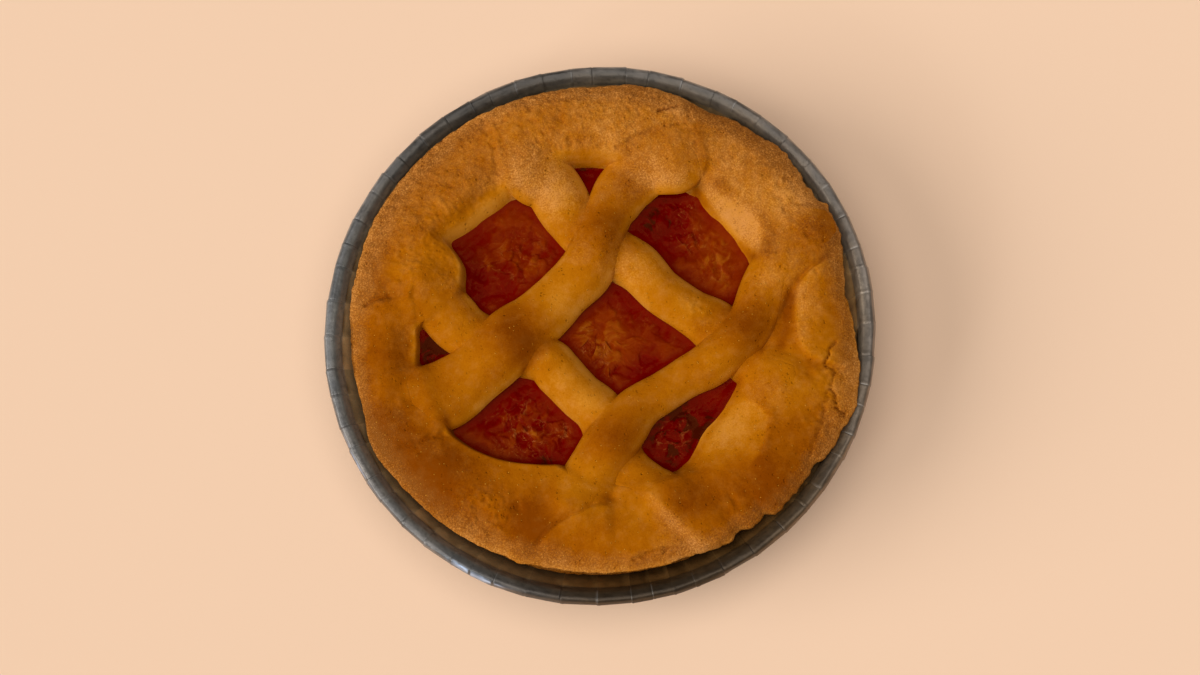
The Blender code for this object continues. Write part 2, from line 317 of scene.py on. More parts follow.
def screenRamp(tree, value, stops, colours):
    # a colour ramp whose colours are screen values
    return colourRamp(tree, value, stops, [screenColour(*colour) for colour in colours])


def finishShader(tree, shader, look, colour, height, roughness, metallic=0.0):
    # the shader's inputs, with fine bumps from a height
    bump = addNode(tree, "Bump", {
        "Height": height, "Strength": look["bump"], "Distance": look["bumpHeight"] * mm})
    fillInputs(tree, shader, {
        "Base Color": colour, "Roughness": roughness, "Metallic": metallic, "Normal": bump.outputs["Normal"],
        "Specular IOR Level": look["sheen"], "Specular Tint": look["sheenTint"]})


pastryLook = {
    # oily crust and sandy crust, from pale to deeply baked, in screen colours; the sandy ones' extra blue is
    # painted sheen
    "oily": [(192, 122, 32), (170, 98, 5), (149, 78, 1), (120, 55, 0)],
    "sandy": [(200, 132, 62), (177, 111, 45), (155, 92, 32), (130, 73, 21)],
    "stops": [0.0, 0.33, 0.66, 1.0],
    # the first colour here is painted shade, laid into pits and creases
    "creaseShadeColour": (92, 38, 2), "grainPale": (212, 148, 82), "speck": (224, 150, 48),
    "grainSize": 0.34, "pitSize": 0.9,    # mm
    "blotches": 420.0,                    # per metre
    "grains": 3.0, "blotchDepth": 0.30,   # how far grains and blotches shift the baked depth
    "dustFloor": 0.14, "dustBreak": -1.6, # grain where there is no dust, and how far blotches shift the dust
    # shares of each, how sharp pits and specks are, and the range of noise over which each sets in
    "paleGrains": 0.55, "grainPlaces": (0.60, 0.72),
    "pits": 0.55, "pitEdge": (0.06, 0.32), "pitPlaces": (0.52, 0.64),
    "specks": 0.62, "speckEdge": (0.07, 0.20), "speckPlaces": (0.70, 0.80),
    "roughness": 0.80, "sheen": 0.06, "sheenTint": (1.0, 0.45, 0.10, 1.0),
    "bump": 0.70, "bumpHeight": 0.4,      # strength, mm
}


def pastryMaterial(name, look, sandy):
    # golden crust. The baked depth that the mesh carries picks a colour from each ramp and dust mixes the
    # two; pale specks and grains go over, and dark pits and cracks, painted shade. Sandy is how strong grains
    # and pits are here
    material, tree, shader = newMaterial(name)
    place = addNode(tree, "TexCoord", {}).outputs["Object"]
    bake, dustAndSheen, creaseShade = (carried(tree, label) for label in ("bake", "dustAndSheen", "creaseShade"))
    grain = cloudy(tree, place, 1000 / look["grainSize"], detail=3.0, roughness=0.7).outputs["Fac"]
    blotch = cloudy(tree, place, look["blotches"], detail=5.0, roughness=0.66).outputs["Fac"]
    pitDistance, pitNumber = cellular(tree, place, look["pitSize"])
    pit = times(tree, mapped(tree, pitDistance, *look["pitEdge"], start=1.0, end=0.0),
                mapped(tree, blotch, *look["pitPlaces"]))
    dustMore = plus(tree, dustAndSheen, look["dustFloor"])
    blotchPart = plus(tree, blotch, -0.5)
    grainShift = times(tree, plus(tree, grain, -0.5), times(tree, dustMore, look["grains"] * sandy))
    depth = plus(tree, plus(tree, bake, grainShift), times(tree, blotchPart, look["blotchDepth"]))
    oily, dry = (screenRamp(tree, depth, look["stops"], look[kind]) for kind in ("oily", "sandy"))
    dustShare = plus(tree, dustAndSheen, times(tree, blotchPart, look["dustBreak"]), clamp=True)
    crust = mixed(tree, dustShare, oily, dry)
    speck = times(tree, mapped(tree, pitDistance, *look["speckEdge"], start=look["specks"], end=0.0),
                  mapped(tree, pitNumber, *look["speckPlaces"]))
    specked = mixed(tree, speck, crust, screenColour(*look["speck"]))
    paleGrain = mapped(tree, grain, *look["grainPlaces"], end=look["paleGrains"])
    paleShare = times(tree, paleGrain, dustAndSheen, clamp=True)
    grained = mixed(tree, paleShare, specked, screenColour(*look["grainPale"]))
    # painted shade: pits and creases darkened towards the shade colour
    pitShade = times(tree, pit, times(tree, dustMore, look["pits"] * sandy))
    colour = mixed(tree, plus(tree, pitShade, creaseShade, clamp=True), grained, screenColour(*look["creaseShadeColour"]))
    relief = calculate(tree, "SUBTRACT", plus(tree, times(tree, grain, dustMore), speck), pit)
    finishShader(tree, shader, look, colour, relief, look["roughness"])
    return material


jamLook = {
    # screen colours of the fruit from its darkest, a painted shade colour, to its palest, and where each
    # stands on the ramp
    "colours": [(58, 9, 0), (86, 0, 0), (98, 2, 0), (101, 15, 0), (118, 36, 0), (146, 74, 8)],
    "stops": [0.0, 0.06, 0.30, 0.46, 0.70, 1.0],
    # painted glints: the bright colour, and the size, sharpness and places of the glint lines on the skin
    "bitsAndGlints": (172, 100, 44), "glintSize": 2.6,    # bright edges of skin, and how far apart they wander, mm
    "glintEdge": (0.003, 0.020),                 # how sharp they are
    "glintPlaces": (0.48, 0.62),                 # and the range of clouds over which they set in
    "bitSize": 0.8, "bits": 0.24,               # small bits of fruit: mm, and how much their tones differ
    "bend": (0.0035, 0.0035, 0.0035),           # how far clouds bend their outlines, in metres
    "clouds": 380.0, "cloudDepth": 0.55,        # per metre, shift of tone
    "ripples": 700.0,                           # per metre
    "roughness": 0.14, "sheen": 0.06, "sheenTint": (1.0, 0.30, 0.08, 1.0),
    "bump": 0.16, "bumpHeight": 0.5,            # strength, mm
}


def jamMaterial(look):
    # wet cooked fruit: the tone that the mesh carries picks the colour, dark red to amber, with clouds and
    # small bits of fruit in it. Painted glints on the skin are thin bright lines where a bent noise passes
    # through its middle, and painted glints as bright lie along the rims of broken bits that the mesh carries
    material, tree, shader = newMaterial("apricotJam")
    place = addNode(tree, "TexCoord", {}).outputs["Object"]
    tone, bitsAndGlints, bitEdgeGlint = (carried(tree, label) for label in ("tone", "bitsAndGlints", "bitEdgeGlint"))
    cloud = cloudy(tree, place, look["clouds"], detail=6.0, roughness=0.62, distortion=0.8)
    bend = addNode(tree, "VectorMath", {0: cloud.outputs["Color"], 1: look["bend"]}, operation="MULTIPLY")
    bent = addNode(tree, "VectorMath", {0: place, 1: bend.outputs["Vector"]}, operation="ADD")
    cell = cellular(tree, bent.outputs["Vector"], look["bitSize"])[1]
    cellShift = times(tree, plus(tree, cell, -0.5), times(tree, bitsAndGlints, look["bits"]))
    cloudShift = times(tree, plus(tree, cloud.outputs["Fac"], -0.5), look["cloudDepth"])
    depth = plus(tree, plus(tree, tone, cloudShift), cellShift)
    fruit = screenRamp(tree, depth, look["stops"], look["colours"])
    wander = cloudy(tree, place, 1000 / look["glintSize"], detail=3.0, roughness=0.6, distortion=1.2)
    offLine = calculate(tree, "ABSOLUTE", plus(tree, wander.outputs["Fac"], -0.5), 0.0)
    broken = mapped(tree, cloud.outputs["Fac"], *look["glintPlaces"])
    line = times(tree, mapped(tree, offLine, *look["glintEdge"], start=1.0, end=0.0), broken)
    line = times(tree, line, bitsAndGlints)
    glintShare = calculate(tree, "MAXIMUM", line, times(tree, bitEdgeGlint, broken), clamp=True)
    colour = mixed(tree, glintShare, fruit, screenColour(*look["bitsAndGlints"]))
    ripple = cloudy(tree, place, look["ripples"], detail=3.0, distortion=0.4).outputs["Fac"]
    relief = plus(tree, plus(tree, ripple, glintShare), cellShift)
    finishShader(tree, shader, look, colour, relief, look["roughness"])
    return material


foilLook = {
    # colours across the rolled rim from its inner to its outer edge: painted reflection and fill light,
    # lighter and browner at the inner end (painted reflection of the crust), lighter at the outer end
    "stops": [0.0, 0.2, 0.41, 0.62, 0.85, 1.0],
    "roll": [(0.34, 0.30, 0.21, 1), (0.215, 0.20, 0.165, 1), (0.145, 0.137, 0.118, 1),
             (0.133, 0.130, 0.122, 1), (0.20, 0.195, 0.183, 1), (0.29, 0.28, 0.26, 1)],
    # the crimp glint and gleam colours are painted highlights; the wall's brown is painted reflection of the
    # crust and painted fill light; the warm tint is butter stain and painted warm reflection
    "wall": (0.35, 0.262, 0.125, 1), "crimpGlint": (0.45, 0.44, 0.42, 1), "paintedGleam": (0.62, 0.76, 1.0, 1),
    "cool": (0.98, 1.0, 1.05, 1), "warm": (1.0, 0.66, 0.38, 1),    # tints, clean and buttery
    "clouds": 420.0, "wrinkles": 620.0,                            # per metre
    "cloudDepth": 0.18, "cloudEdge": (0.3, 0.7),                   # share, and its range of noise
    "roughness": (0.30, 0.54), "metallic": 0.5, "sheen": 0.25, "sheenTint": (1.0, 1.0, 1.0, 1.0),
    "bump": 0.25, "bumpHeight": 0.4,                               # strength, mm
}


def foilMaterial(look):
    # crimped foil: dull metal with cloudy patches and painted reflections, browner inwards (painted
    # reflection of the crust) and where butter ran, painted highlights at crimps and in bluish gleams
    material, tree, shader = newMaterial("foil")
    place = addNode(tree, "TexCoord", {}).outputs["Object"]
    inside, outward, level, warm, crimpGlint, paintedGleam = (
        carried(tree, label) for label in ("inside", "outward", "level", "warm", "crimpGlint", "paintedGleam"))
    cloud = cloudy(tree, place, look["clouds"], detail=4.0, roughness=0.6).outputs["Fac"]
    metal = mixed(tree, inside, colourRamp(tree, outward, look["stops"], look["roll"]), look["wall"])
    tinted = mixed(tree, 1.0, metal, mixed(tree, warm, look["cool"], look["warm"]), "MULTIPLY")
    patch = mapped(tree, cloud, *look["cloudEdge"], start=1 - look["cloudDepth"], end=1 + look["cloudDepth"])
    shade = times(tree, patch, level)
    shades = addNode(tree, "CombineColor", {0: shade, 1: shade, 2: shade}).outputs["Color"]
    clouded = mixed(tree, 1.0, tinted, shades, "MULTIPLY")
    colour = mixed(tree, paintedGleam, mixed(tree, crimpGlint, clouded, look["crimpGlint"]), look["paintedGleam"])
    wrinkle = cloudy(tree, place, look["wrinkles"], detail=3.0).outputs["Fac"]
    roughness = mapped(tree, cloud, 0.0, 1.0, *look["roughness"])
    finishShader(tree, shader, look, colour, wrinkle, roughness, look["metallic"])
    return material


crustMaterial = pastryMaterial("bakedCrust", pastryLook, 1.0)
stripMaterial = pastryMaterial("bakedStrips", pastryLook, 1.1)
fruitMaterial = jamMaterial(jamLook)
caseMaterial = foilMaterial(foilLook)
print("tart: materials made")


# The strips. Middle line of each as (x, y, width) in mm; node is the part's own node that the piece replaces.
stripShapes = {
    "stripOverUpper": {"node": "strip_over_upper", "line": [
        (-38.5, -17.5, 13.6), (-34.7, -15.0, 14.2), (-30.3, -13.1, 14.3), (-25.6, -9.9, 12.8),
        (-20.6, -5.7, 12.9), (-16.2, -1.3, 12.9), (-11.3, 2.7, 11.6), (-6.9, 7.2, 10.9),
        (-1.9, 12.6, 11.1), (1.4, 21.9, 9.7), (3.2, 25.6, 10.7), (5.8, 29.5, 11.7), (10.0, 32.7, 12.2),
        (15.4, 33.2, 13.2)]},
    "stripOverLower": {"node": "strip_over_lower", "line": [
        (-8.4, -41.5, 9.0), (-5.6, -37.0, 10.4), (-2.5, -31.7, 11.0), (3.0, -22.7, 11.0),
        (7.6, -16.5, 9.2), (13.0, -12.9, 8.2), (17.6, -10.0, 8.4), (22.9, -7.0, 9.2), (30.1, 0.0, 10.0),
        (33.4, 8.2, 9.9), (36.9, 13.2, 10.6), (42.0, 18.4, 11.0)]},
    "stripUnderUpper": {"node": "strip_under_upper", "line": [
        (-19.0, 37.6, 12.6), (-16.0, 35.4, 13.6), (-12.5, 32.0, 13.4), (-9.0, 29.0, 11.8),
        (-5.6, 23.4, 11.0), (0.4, 17.3, 10.8), (7.6, 12.7, 10.0), (12.4, 7.5, 9.2), (18.1, 3.4, 9.1),
        (23.6, -0.2, 10.6), (30.4, -7.6, 9.6), (38.4, -12.9, 10.0), (42.4, -14.8, 9.0)]},
    "stripUnderLower": {"node": "strip_under_lower", "line": [
        (-41.7, 10.6, 10.0), (-35.7, 9.1, 11.0), (-30.6, 4.0, 11.2), (-26.1, -0.4, 10.6),
        (-17.5, -3.9, 9.8), (-10.5, -6.1, 9.3), (-7.6, -9.1, 9.7), (-3.7, -13.3, 9.2),
        (0.8, -17.6, 9.8), (4.5, -27.3, 10.2), (8.8, -31.6, 10.2), (13.6, -34.9, 10.6),
        (19.2, -38.8, 11.2)]},
}
stripHeights = {
    # mm: middle height, and how far the dough reaches up and down from it
    "middle": 19.9, "top": 3.1, "bottom": 1.9,
    # mm: higher and thicker where it lies over, lower where it lies under, higher towards the rim
    "overLift": 0.9, "overThick": 1.1, "underDrop": 1.1, "endLift": 1.7, "endRadii": (30.0, 39.0),
    # section: powers of its crown, and how steeply it falls beyond its edge
    "round": 2.2, "taper": 0.72, "steep": 1.25,
    # mm: how softly strips run into each other and into the rim
    "melt": 0.5, "rimMelt": 1.2,
    # points along the middle line, and noise in its width (share, size) and height (mm, size)
    "samples": 280, "widthNoise": (0.025, 5.0), "swell": (0.15, 9.0),
    # rows round each end cap, columns round the section, and the part of the crown that joins top and
    # underside; then how much painted fill light makes the side that the light misses paler, and the way it
    # faces
    "capRows": 15, "columns": 96, "seam": 0.12, "paintedFill": 0.35, "paintedFillWay": (0.98, 0.2),
    # mm: change of height at the first and at the last end, and how far it reaches
    "endExtra": {"stripOverUpper": (-3.0, 1.2), "stripOverLower": (-3.5, 0.6),
                 "stripUnderUpper": (-3.0, -3.0), "stripUnderLower": (-3.0, -2.5)},
    "endReach": 7,
}
crossings = [  # (over, under, x, y, spread)
    ("stripOverUpper", "stripUnderUpper", 0.3, 17.3, 8.0),
    ("stripOverUpper", "stripUnderLower", -18.0, -4.2, 9.0),
    ("stripOverLower", "stripUnderUpper", 27.2, -3.5, 8.0),
    ("stripOverLower", "stripUnderLower", 3.0, -22.6, 9.0)]


def prepareStrip(name, shape, heights):
    # samples the middle line and gives each sample its tangent, width and height: middle, lifted towards
    # the rim and by a bell at each crossing where it lies over, dropped by one where it lies under
    row = splineRow(shape["line"], heights["samples"])
    x, y, width = row.T
    step = np.hypot(np.gradient(x), np.gradient(y))
    length = np.cumsum(step) - step[0]
    tx, ty = np.gradient(x) / step, np.gradient(y) / step
    amount, size = heights["widthNoise"]
    width = width * (1 + amount * noise(length, length * 0 + 3.0, size, 5 + len(name), 2))
    z = heights["middle"] + heights["endLift"] * smoothStep(np.hypot(x, y), *heights["endRadii"])
    first, last = heights["endExtra"][name]
    reach = heights["endReach"]
    z += first * smoothStep(reach - length, 0, reach)
    z += last * smoothStep(length - length[-1] + reach, 0, reach)
    amount, size = heights["swell"]
    z += amount * noise(x, y, size, 8, 2)
    thick = np.full(z.shape, heights["top"])
    for over, under, cx, cy, wide in crossings:
        near = bell(np.hypot(x - cx, y - cy), wide)
        z += heights["overLift"] * near if name == over else 0.0
        thick += heights["overThick"] * near if name == over else 0.0
        z -= heights["underDrop"] * near if name == under else 0.0
    return dict(shape, x=x, y=y, w=width, z=z, t=thick, tx=tx, ty=ty)


strips = {name: prepareStrip(name, shape, stripHeights) for name, shape in stripShapes.items()}


def alongStrip(strip, x, y):
    # for every plan point: the nearest sample of the middle line, and the distance from it in half widths
    near, share = np.empty(x.size, int), np.empty(x.size)
    flatX, flatY = x.ravel(), y.ravel()
    batch = 20000    # points at a time, so that the table of distances stays small
    for start in range(0, x.size, batch):
        part = slice(start, start + batch)
        px, py = flatX[part], flatY[part]
        k = ((px[:, None] - strip["x"]) ** 2 + (py[:, None] - strip["y"]) ** 2).argmin(axis=1)
        dx, dy = px - strip["x"][k], py - strip["y"][k]
        along = dx * strip["tx"][k] + dy * strip["ty"][k]
        side = -dx * strip["ty"][k] + dy * strip["tx"][k]
        beyond = np.where(k == len(strip["x"]) - 1, np.maximum(along, 0), 0)
        past = np.where(k == 0, np.minimum(along, 0), beyond)
        near[part], share[part] = k, np.hypot(side, past) / (0.5 * strip["w"][k])
    return near.reshape(x.shape), share.reshape(x.shape)


def crownShare(u, heights=stripHeights):
    # rounded section of a strip: (1 - u^round)^taper, u being the distance from its middle in half widths
    return (1 - np.minimum(u, 1) ** heights["round"]) ** heights["taper"]


def stripField(strip, x, y, heights=stripHeights):
    # height of a strip's top at any plan point: middle + top * crown, less a steep slope beyond its edge
    near, u = alongStrip(strip, x, y)
    beyond = heights["steep"] * np.maximum(u - 1, 0) * strip["w"][near]
    return strip["z"][near] + strip["t"][near] * crownShare(u) - beyond


def clearance(x, y):
    # distance in mm over open jam to the nearest pastry, negative under it
    r, degrees = polar(x, y)
    gap = innerEdge(degrees)[0] - r
    for strip in strips.values():
        near, u = alongStrip(strip, x, y)
        gap = np.minimum(gap, (u - 1) * 0.5 * strip["w"][near])
    return gap


# The rim, all in mm and degrees from the right, anticlockwise.
rimShape = {
    # inner edge: (angle, radius where it meets the jam, width of its inner slope, height of its shoulder)
    "inner": [
        (0, 33.2, 3.0, 22.4), (8, 34.5, 3.0, 22.7), (14, 34.0, 2.2, 23.2), (18, 32.8, 1.6, 23.8),
        (22, 33.7, 1.8, 23.7), (25, 33.4, 3.2, 23.5), (28, 32.5, 5.0, 23.4), (33, 32.4, 6.0, 23.4),
        (39, 32.1, 5.9, 23.4), (46, 31.9, 5.1, 23.4), (50, 32.4, 4.6, 23.5), (55, 34.0, 4.0, 23.5),
        (60, 34.1, 4.0, 23.6), (66, 33.2, 3.0, 23.6), (78, 33.0, 2.5, 23.6), (86, 33.8, 1.9, 23.7),
        (98, 34.6, 2.0, 23.7), (112, 33.8, 2.0, 23.6), (118, 32.6, 2.2, 22.6), (122, 32.4, 2.6, 21.9),
        (127, 32.2, 2.8, 21.6), (131, 32.3, 2.8, 21.5), (139, 32.9, 2.7, 21.5), (144, 33.9, 2.6, 21.6),
        (148, 35.4, 2.2, 21.9), (149.5, 35.2, 2.0, 22.2), (151, 32.4, 1.4, 22.4),
        (154, 29.8, 0.9, 22.5), (157, 29.0, 0.9, 22.5), (161, 28.4, 1.0, 22.4),
        (164.5, 27.9, 1.3, 22.2), (168, 28.2, 1.8, 22.0), (171, 30.0, 2.2, 22.0),
        (174.5, 31.8, 2.0, 22.0), (177, 32.8, 1.4, 21.8), (178.3, 34.8, 0.7, 21.6),
        (179.5, 35.9, 0.5, 21.5), (185, 35.8, 0.5, 21.5), (190.5, 36.4, 0.6, 21.6),
        (193, 35.2, 2.0, 22.4), (196, 34.0, 6.0, 22.8), (203, 33.8, 6.5, 22.8), (207, 33.8, 3.0, 22.8),
        (211, 34.3, 1.4, 22.6), (216, 35.6, 0.8, 22.4), (225, 34.3, 0.4, 22.3), (234, 32.5, 0.4, 22.4),
        (245, 30.1, 0.4, 22.5), (254, 28.3, 0.8, 22.5), (261, 29.0, 2.0, 22.4), (267, 30.6, 2.4, 22.5),
        (286, 31.6, 2.5, 22.6), (291, 32.3, 2.2, 22.9), (297, 33.0, 2.0, 23.1), (300, 32.7, 2.8, 23.2),
        (303, 31.9, 4.4, 23.3), (307, 30.5, 6.1, 23.5), (312, 29.0, 8.2, 23.7), (316, 28.5, 9.0, 23.7),
        (321, 28.6, 9.4, 23.7), (327, 28.4, 9.6, 23.5), (333, 28.4, 8.3, 23.4), (339, 29.4, 4.9, 23.2),
        (345, 30.2, 3.4, 22.8), (352, 31.8, 3.0, 22.4)],
    # plan of the outer edge about the tart's own middle: (angle, radius)
    "outer": [
        (0, 49.2), (7, 48.1), (14, 49.0), (19, 50.2), (28, 50.5), (34, 49.0), (42, 50.6), (48, 50.0),
        (57, 49.4), (63, 48.5), (70, 49.6), (81, 50.2), (91, 49.5), (104, 49.9), (118, 50.5),
        (126, 50.8), (132, 50.8), (145, 51.0), (156, 51.2), (163, 50.7), (171, 50.7), (178, 50.3),
        (186, 50.2), (193, 50.1), (200, 50.2), (205, 51.1), (209, 51.6), (218, 50.7), (228, 50.3),
        (236, 50.1), (245, 49.8), (249, 49.5), (252, 50.1), (254, 49.4), (260, 49.1), (271, 49.2),
        (281, 49.2), (291, 49.0), (298, 49.7), (301, 50.0), (303, 49.1), (305, 49.2), (306.5, 49.9),
        (308, 49.2), (310.5, 49.4), (312, 50.6), (316, 50.3), (320, 50.5), (324, 50.4), (326.5, 49.6),
        (328, 51.2), (333, 51.3), (336, 51.1), (338, 52.2), (342, 52.2), (346, 51.6), (351, 51.2),
        (356, 50.0)],
    "middle": (0.96, 0.47), "dome": 1.25, "edgeHeight": 21.2, "edgeRound": 0.80, "edgeDrop": 0.9,
    "edgePower": 2.6,
    "archSpan": 1.02, "archPower": 0.8,       # where the dome ends, in widths of it, and how full it is
    "innerBlur": 1.3, "outerBlur": 0.9,       # degrees over which the two tables are blurred
    # inner slope: how far it runs on under the jam (least, more for wide ones, the two widths), and its
    # power (of short slopes, less for long ones, the two widths)
    "slopeUnder": (0.35, 0.55, 0.6, 1.8), "slopePower": (2.0, 0.7, 2.6, 5.0),
    # teeth of crumb along the outer edge: (height, size), and where they are longer: (angle, spread, height)
    "teeth": (0.126, 2.2), "longTeeth": [(316, 20, 0.306), (28, 22, 0.27)],
    # hidden wall: (in from the outer edge, share of raggedness, height), then (radius, share, height), then
    # its foot under the jam (in from the inner edge, height); reach is how far the top runs on under there
    "brim": [(0.25, 0.5, 20.3), (0.9, 1.0, 19.2)],
    "wall": [(48.6, 0.6, 17.6), (46.6, 0, 14.0), (43.2, 0, 7.0), (40.4, 0, 2.0), (38.6, 0, 1.1),
             (30.0, 0, 1.1), (30.0, 0, 6.0), (32.0, 0, 15.0)],
    "foot": (1.2, 16.2), "reach": 0.9, "jamHeight": 17.6,
    # rows round it, columns across the top, how these crowd at both edges and how even they are, and the
    # raggedness of the wall (mm, size)
    "around": 1040, "across": 74, "spacing": (0.45, 0.55), "ragged": (0.25, 1.4),
    # baked depth: paler where the light misses the inner side (painted fill light), browner far out, paler at
    # the outer edge (painted sheen), the last two with the shares of the way out between which they set in
    "paintedFill": -0.30, "farOut": (0.10, 0.55, 0.85), "sheenEdge": (-0.30, 0.90, 1.0),
}
# Broad lumps and hollows: (x, y, half length, half width, turn in degrees, height).
rimLumps = {
    "westLobe": (-41.5, -4.0, 12.0, 5.0, 90, 0.45), "eastFlap": (44.5, 2.0, 7.5, 3.6, 95, 0.2),
    "eastValley": (36.8, 1.5, 7.0, 1.8, 75, -0.4), "southLens": (3.0, -41.5, 8.0, 3.4, 0, 0.5),
    "southWest": (-27.0, -32.0, 12.0, 5.0, 140, 0.5), "southEast": (35.0, -24.0, 10.0, 6.0, 55, 0.5),
    "northWest": (-33.0, 28.0, 12.0, 5.0, 45, 0.4), "north": (-2.0, 42.5, 11.0, 4.0, 0, 0.45),
    "northEast": (30.0, 34.0, 12.0, 5.0, -45, 0.3), "eastLow": (43.0, -10.0, 5.0, 4.0, 90, 0.35),
    "dimple": (2.5, -34.2, 1.1, 0.8, 0, -0.9), "southPit": (-15.2, -36.4, 0.8, 1.2, 0, -0.4),
    "southEastPit": (26.2, -35.0, 1.3, 0.6, -60, -0.5), "northPit": (-7.7, 42.6, 1.4, 1.0, 90, -0.5),
    "northPitSmall": (-5.0, 37.3, 0.8, 0.7, 0, -0.3), "westHollow": (-39.9, 7.4, 3.8, 1.8, -10, -0.9),
    "lowerStripSide": (-11.0, 36.0, 2.0, 5.0, 30, -0.5), "besideBulb": (21.6, 37.5, 2.0, 4.5, 20, 0.35),
    "northWestHigh": (-27.5, 26.5, 9.0, 2.5, 47, 1.2), "brownSpot": (-25.0, 40.5, 2.0, 1.5, 0, -0.3),
    "besideTriangle": (-38.2, -3.0, 5.5, 2.4, 92, -0.8),
}
# Creases and cracks: points, width and depth of the groove, height of the lip beside it, and how dark it is,
# painted shade in the groove.
rimCreases = {
    "west": ([(-46.9, 4.4), (-45.0, 5.6), (-42.7, 6.2), (-40.5, 5.5)], 0.5, 0.6, 0.0, 0.3),
    "westBrow": ([
        (-41.5, 10.3), (-39.5, 9.9), (-37.4, 8.8), (-36.2, 7.0), (-36.4, 5.2)], 0.8, 0.35, -0.25, 0.04),
    "lowerEdge": ([
        (-39.5, -24.6), (-36.0, -23.2), (-33.0, -22.2), (-28.5, -21.4)], 0.6, 0.4, 0.0, 0.08),
    "lens": ([
        (-12.0, -43.9), (-11.0, -42.2), (-7.9, -39.3), (-3.3, -36.8),
        (0.2, -35.6)], 0.5, 0.5, 0.0, 0.26),
    "southFold": ([(6.3, -46.6), (9.0, -45.3), (11.1, -44.9), (17.8, -43.9)], 0.35, 0.6, 0.0, 0.3),
    "overSouth": ([(9.3, -26.6), (5.8, -28.5), (3.9, -31.0), (2.9, -34.3)], 0.6, 0.22, 0.0, 0.04),
    "lowerSideFoot": ([(10.1, -36.9), (14.8, -41.6), (19.6, -46.0)], 0.35, 0.2, 0.0, 0.05),
    "eastCrack": ([
        (46.7, -3.6), (46.3, -4.6), (45.5, -5.4), (45.3, -6.9), (44.6, -8.2), (45.6, -9.6),
        (45.9, -11.2), (45.3, -13.0), (46.4, -14.8), (47.1, -16.9), (48.3, -18.1),
        (48.8, -19.3)], 0.22, 0.7, 0.0, 0.85),
    "eastCrackSide": ([
        (45.3, -13.0), (44.4, -14.6), (44.3, -17.7), (42.8, -22.2), (41.9, -24.6), (41.5, -26.1),
        (40.9, -27.9)], 0.2, 0.35, 0.0, 0.4),
    "northCrack": ([
        (11.6, 43.1), (12.8, 43.9), (13.7, 44.1), (15.2, 44.3), (16.7, 45.1)], 0.26, 0.8, 0.2, 0.75),
    "northCrackSmall": ([(14.4, 40.2), (16.3, 40.9), (18.3, 41.0)], 0.25, 0.4, 0.0, 0.4),
    "northFold": ([(5.0, 36.8), (7.2, 38.0), (9.3, 39.0), (12.4, 40.0)], 0.3, 0.3, 0.0, 0.22),
    "northWest": ([(-23.6, 45.0), (-21.8, 40.0), (-20.4, 35.0), (-19.4, 30.4)], 0.8, 0.5, 0.2, 0.0),
    "rightOfStrip": ([
        (26.7, -11.5), (30.5, -7.2), (33.5, -3.4), (36.1, 2.0), (38.9, 7.8),
        (41.1, 9.6)], 0.6, 0.4, 0.0, 0.14),
    "topOfEnd": ([(36.0, 22.6), (39.6, 24.0), (43.0, 23.6), (46.1, 23.2)], 0.4, 0.3, 0.0, 0.12),
    "lowOfEnd": ([
        (39.6, 8.0), (41.6, 10.3), (43.6, 11.6), (45.3, 13.2), (47.9, 14.4)], 0.4, 0.45, 0.0, 0.25),
    "southEastFold": ([(31.2, -26.5), (32.6, -21.5), (33.2, -16.8)], 0.5, 0.35, -0.25, 0.06),
}
# Ledges, where one flap of dough lies on another: points with the flap on their left, width and height of
# the step, how far back the flap reaches, and how much browner the crust is beside the flap than on it,
# painted shade at the step's foot and painted light on the flap; negative turns these round.
rimLedges = {
    "lowerSide": ([
        (8.0, -33.2), (10.8, -35.6), (15.5, -40.3), (20.1, -44.7), (21.8, -46.4)], 2.2, 1.5, 7.0, 0.05),
    "eastFlap": ([
        (49.0, 14.0), (45.5, 12.6), (42.6, 11.0), (40.4, 8.8), (39.3, 6.6), (38.7, 3.4), (38.9, 0.0),
        (39.2, -3.0), (40.1, -5.4), (41.6, -7.2), (43.8, -8.1), (45.4, -8.4), (47.5, -9.0),
        (50.0, -9.6)], 1.0, 0.85, 9.0, 0.13),
    "westFold": ([(-35.9, -0.8), (-36.1, 2.0), (-36.4, 5.0), (-37.4, 8.0)], 1.1, 0.4, 3.0, 0.0),
    "bulb": ([
        (20.4, 29.6), (22.0, 32.0), (22.2, 34.5), (21.4, 37.5), (19.8, 40.0)], 1.4, 0.4, 3.0, 0.0),
    "northFold": ([
        (2.6, 35.5), (5.3, 37.1), (9.3, 39.2), (14.0, 40.9), (17.3, 43.3),
        (19.0, 45.4)], 1.0, 0.5, 2.5, 0.08),
    "northEastFacet": ([
        (20.6, 30.4), (23.8, 26.9), (27.0, 24.6), (29.7, 22.5), (32.3, 20.2), (32.9, 17.3),
        (32.4, 14.9), (30.5, 12.8)], 0.7, 0.55, 3.0, -0.15),
    "southEastFacet": ([
        (24.5, -13.2), (28.0, -14.6), (31.2, -16.2), (33.3, -19.0), (32.9, -22.5), (31.4, -26.5),
        (28.5, -29.5)], 1.0, 0.45, 3.0, -0.16),
    "westStrip": ([(-34.2, -8.6), (-36.2, -10.7), (-38.1, -12.7), (-40.3, -15.4)], 2.2, 0.5, 4.0, 0.05),
    "lens": ([
        (3.7, -35.6), (-0.6, -35.9), (-4.9, -37.8), (-9.2, -40.3),
        (-11.8, -43.7)], 1.2, 0.7, 6.0, 0.08),
    "southFold": ([(5.3, -47.7), (9.6, -45.6), (13.9, -44.7), (17.7, -44.3)], 0.8, 0.4, 3.0, 0.08),
}


def innerEdge(degrees, shape=rimShape):
    # radius of the foot, width of the slope and height of the shoulder all the way round, read from the table
    return aroundTable(shape["inner"], degrees, shape["innerBlur"])


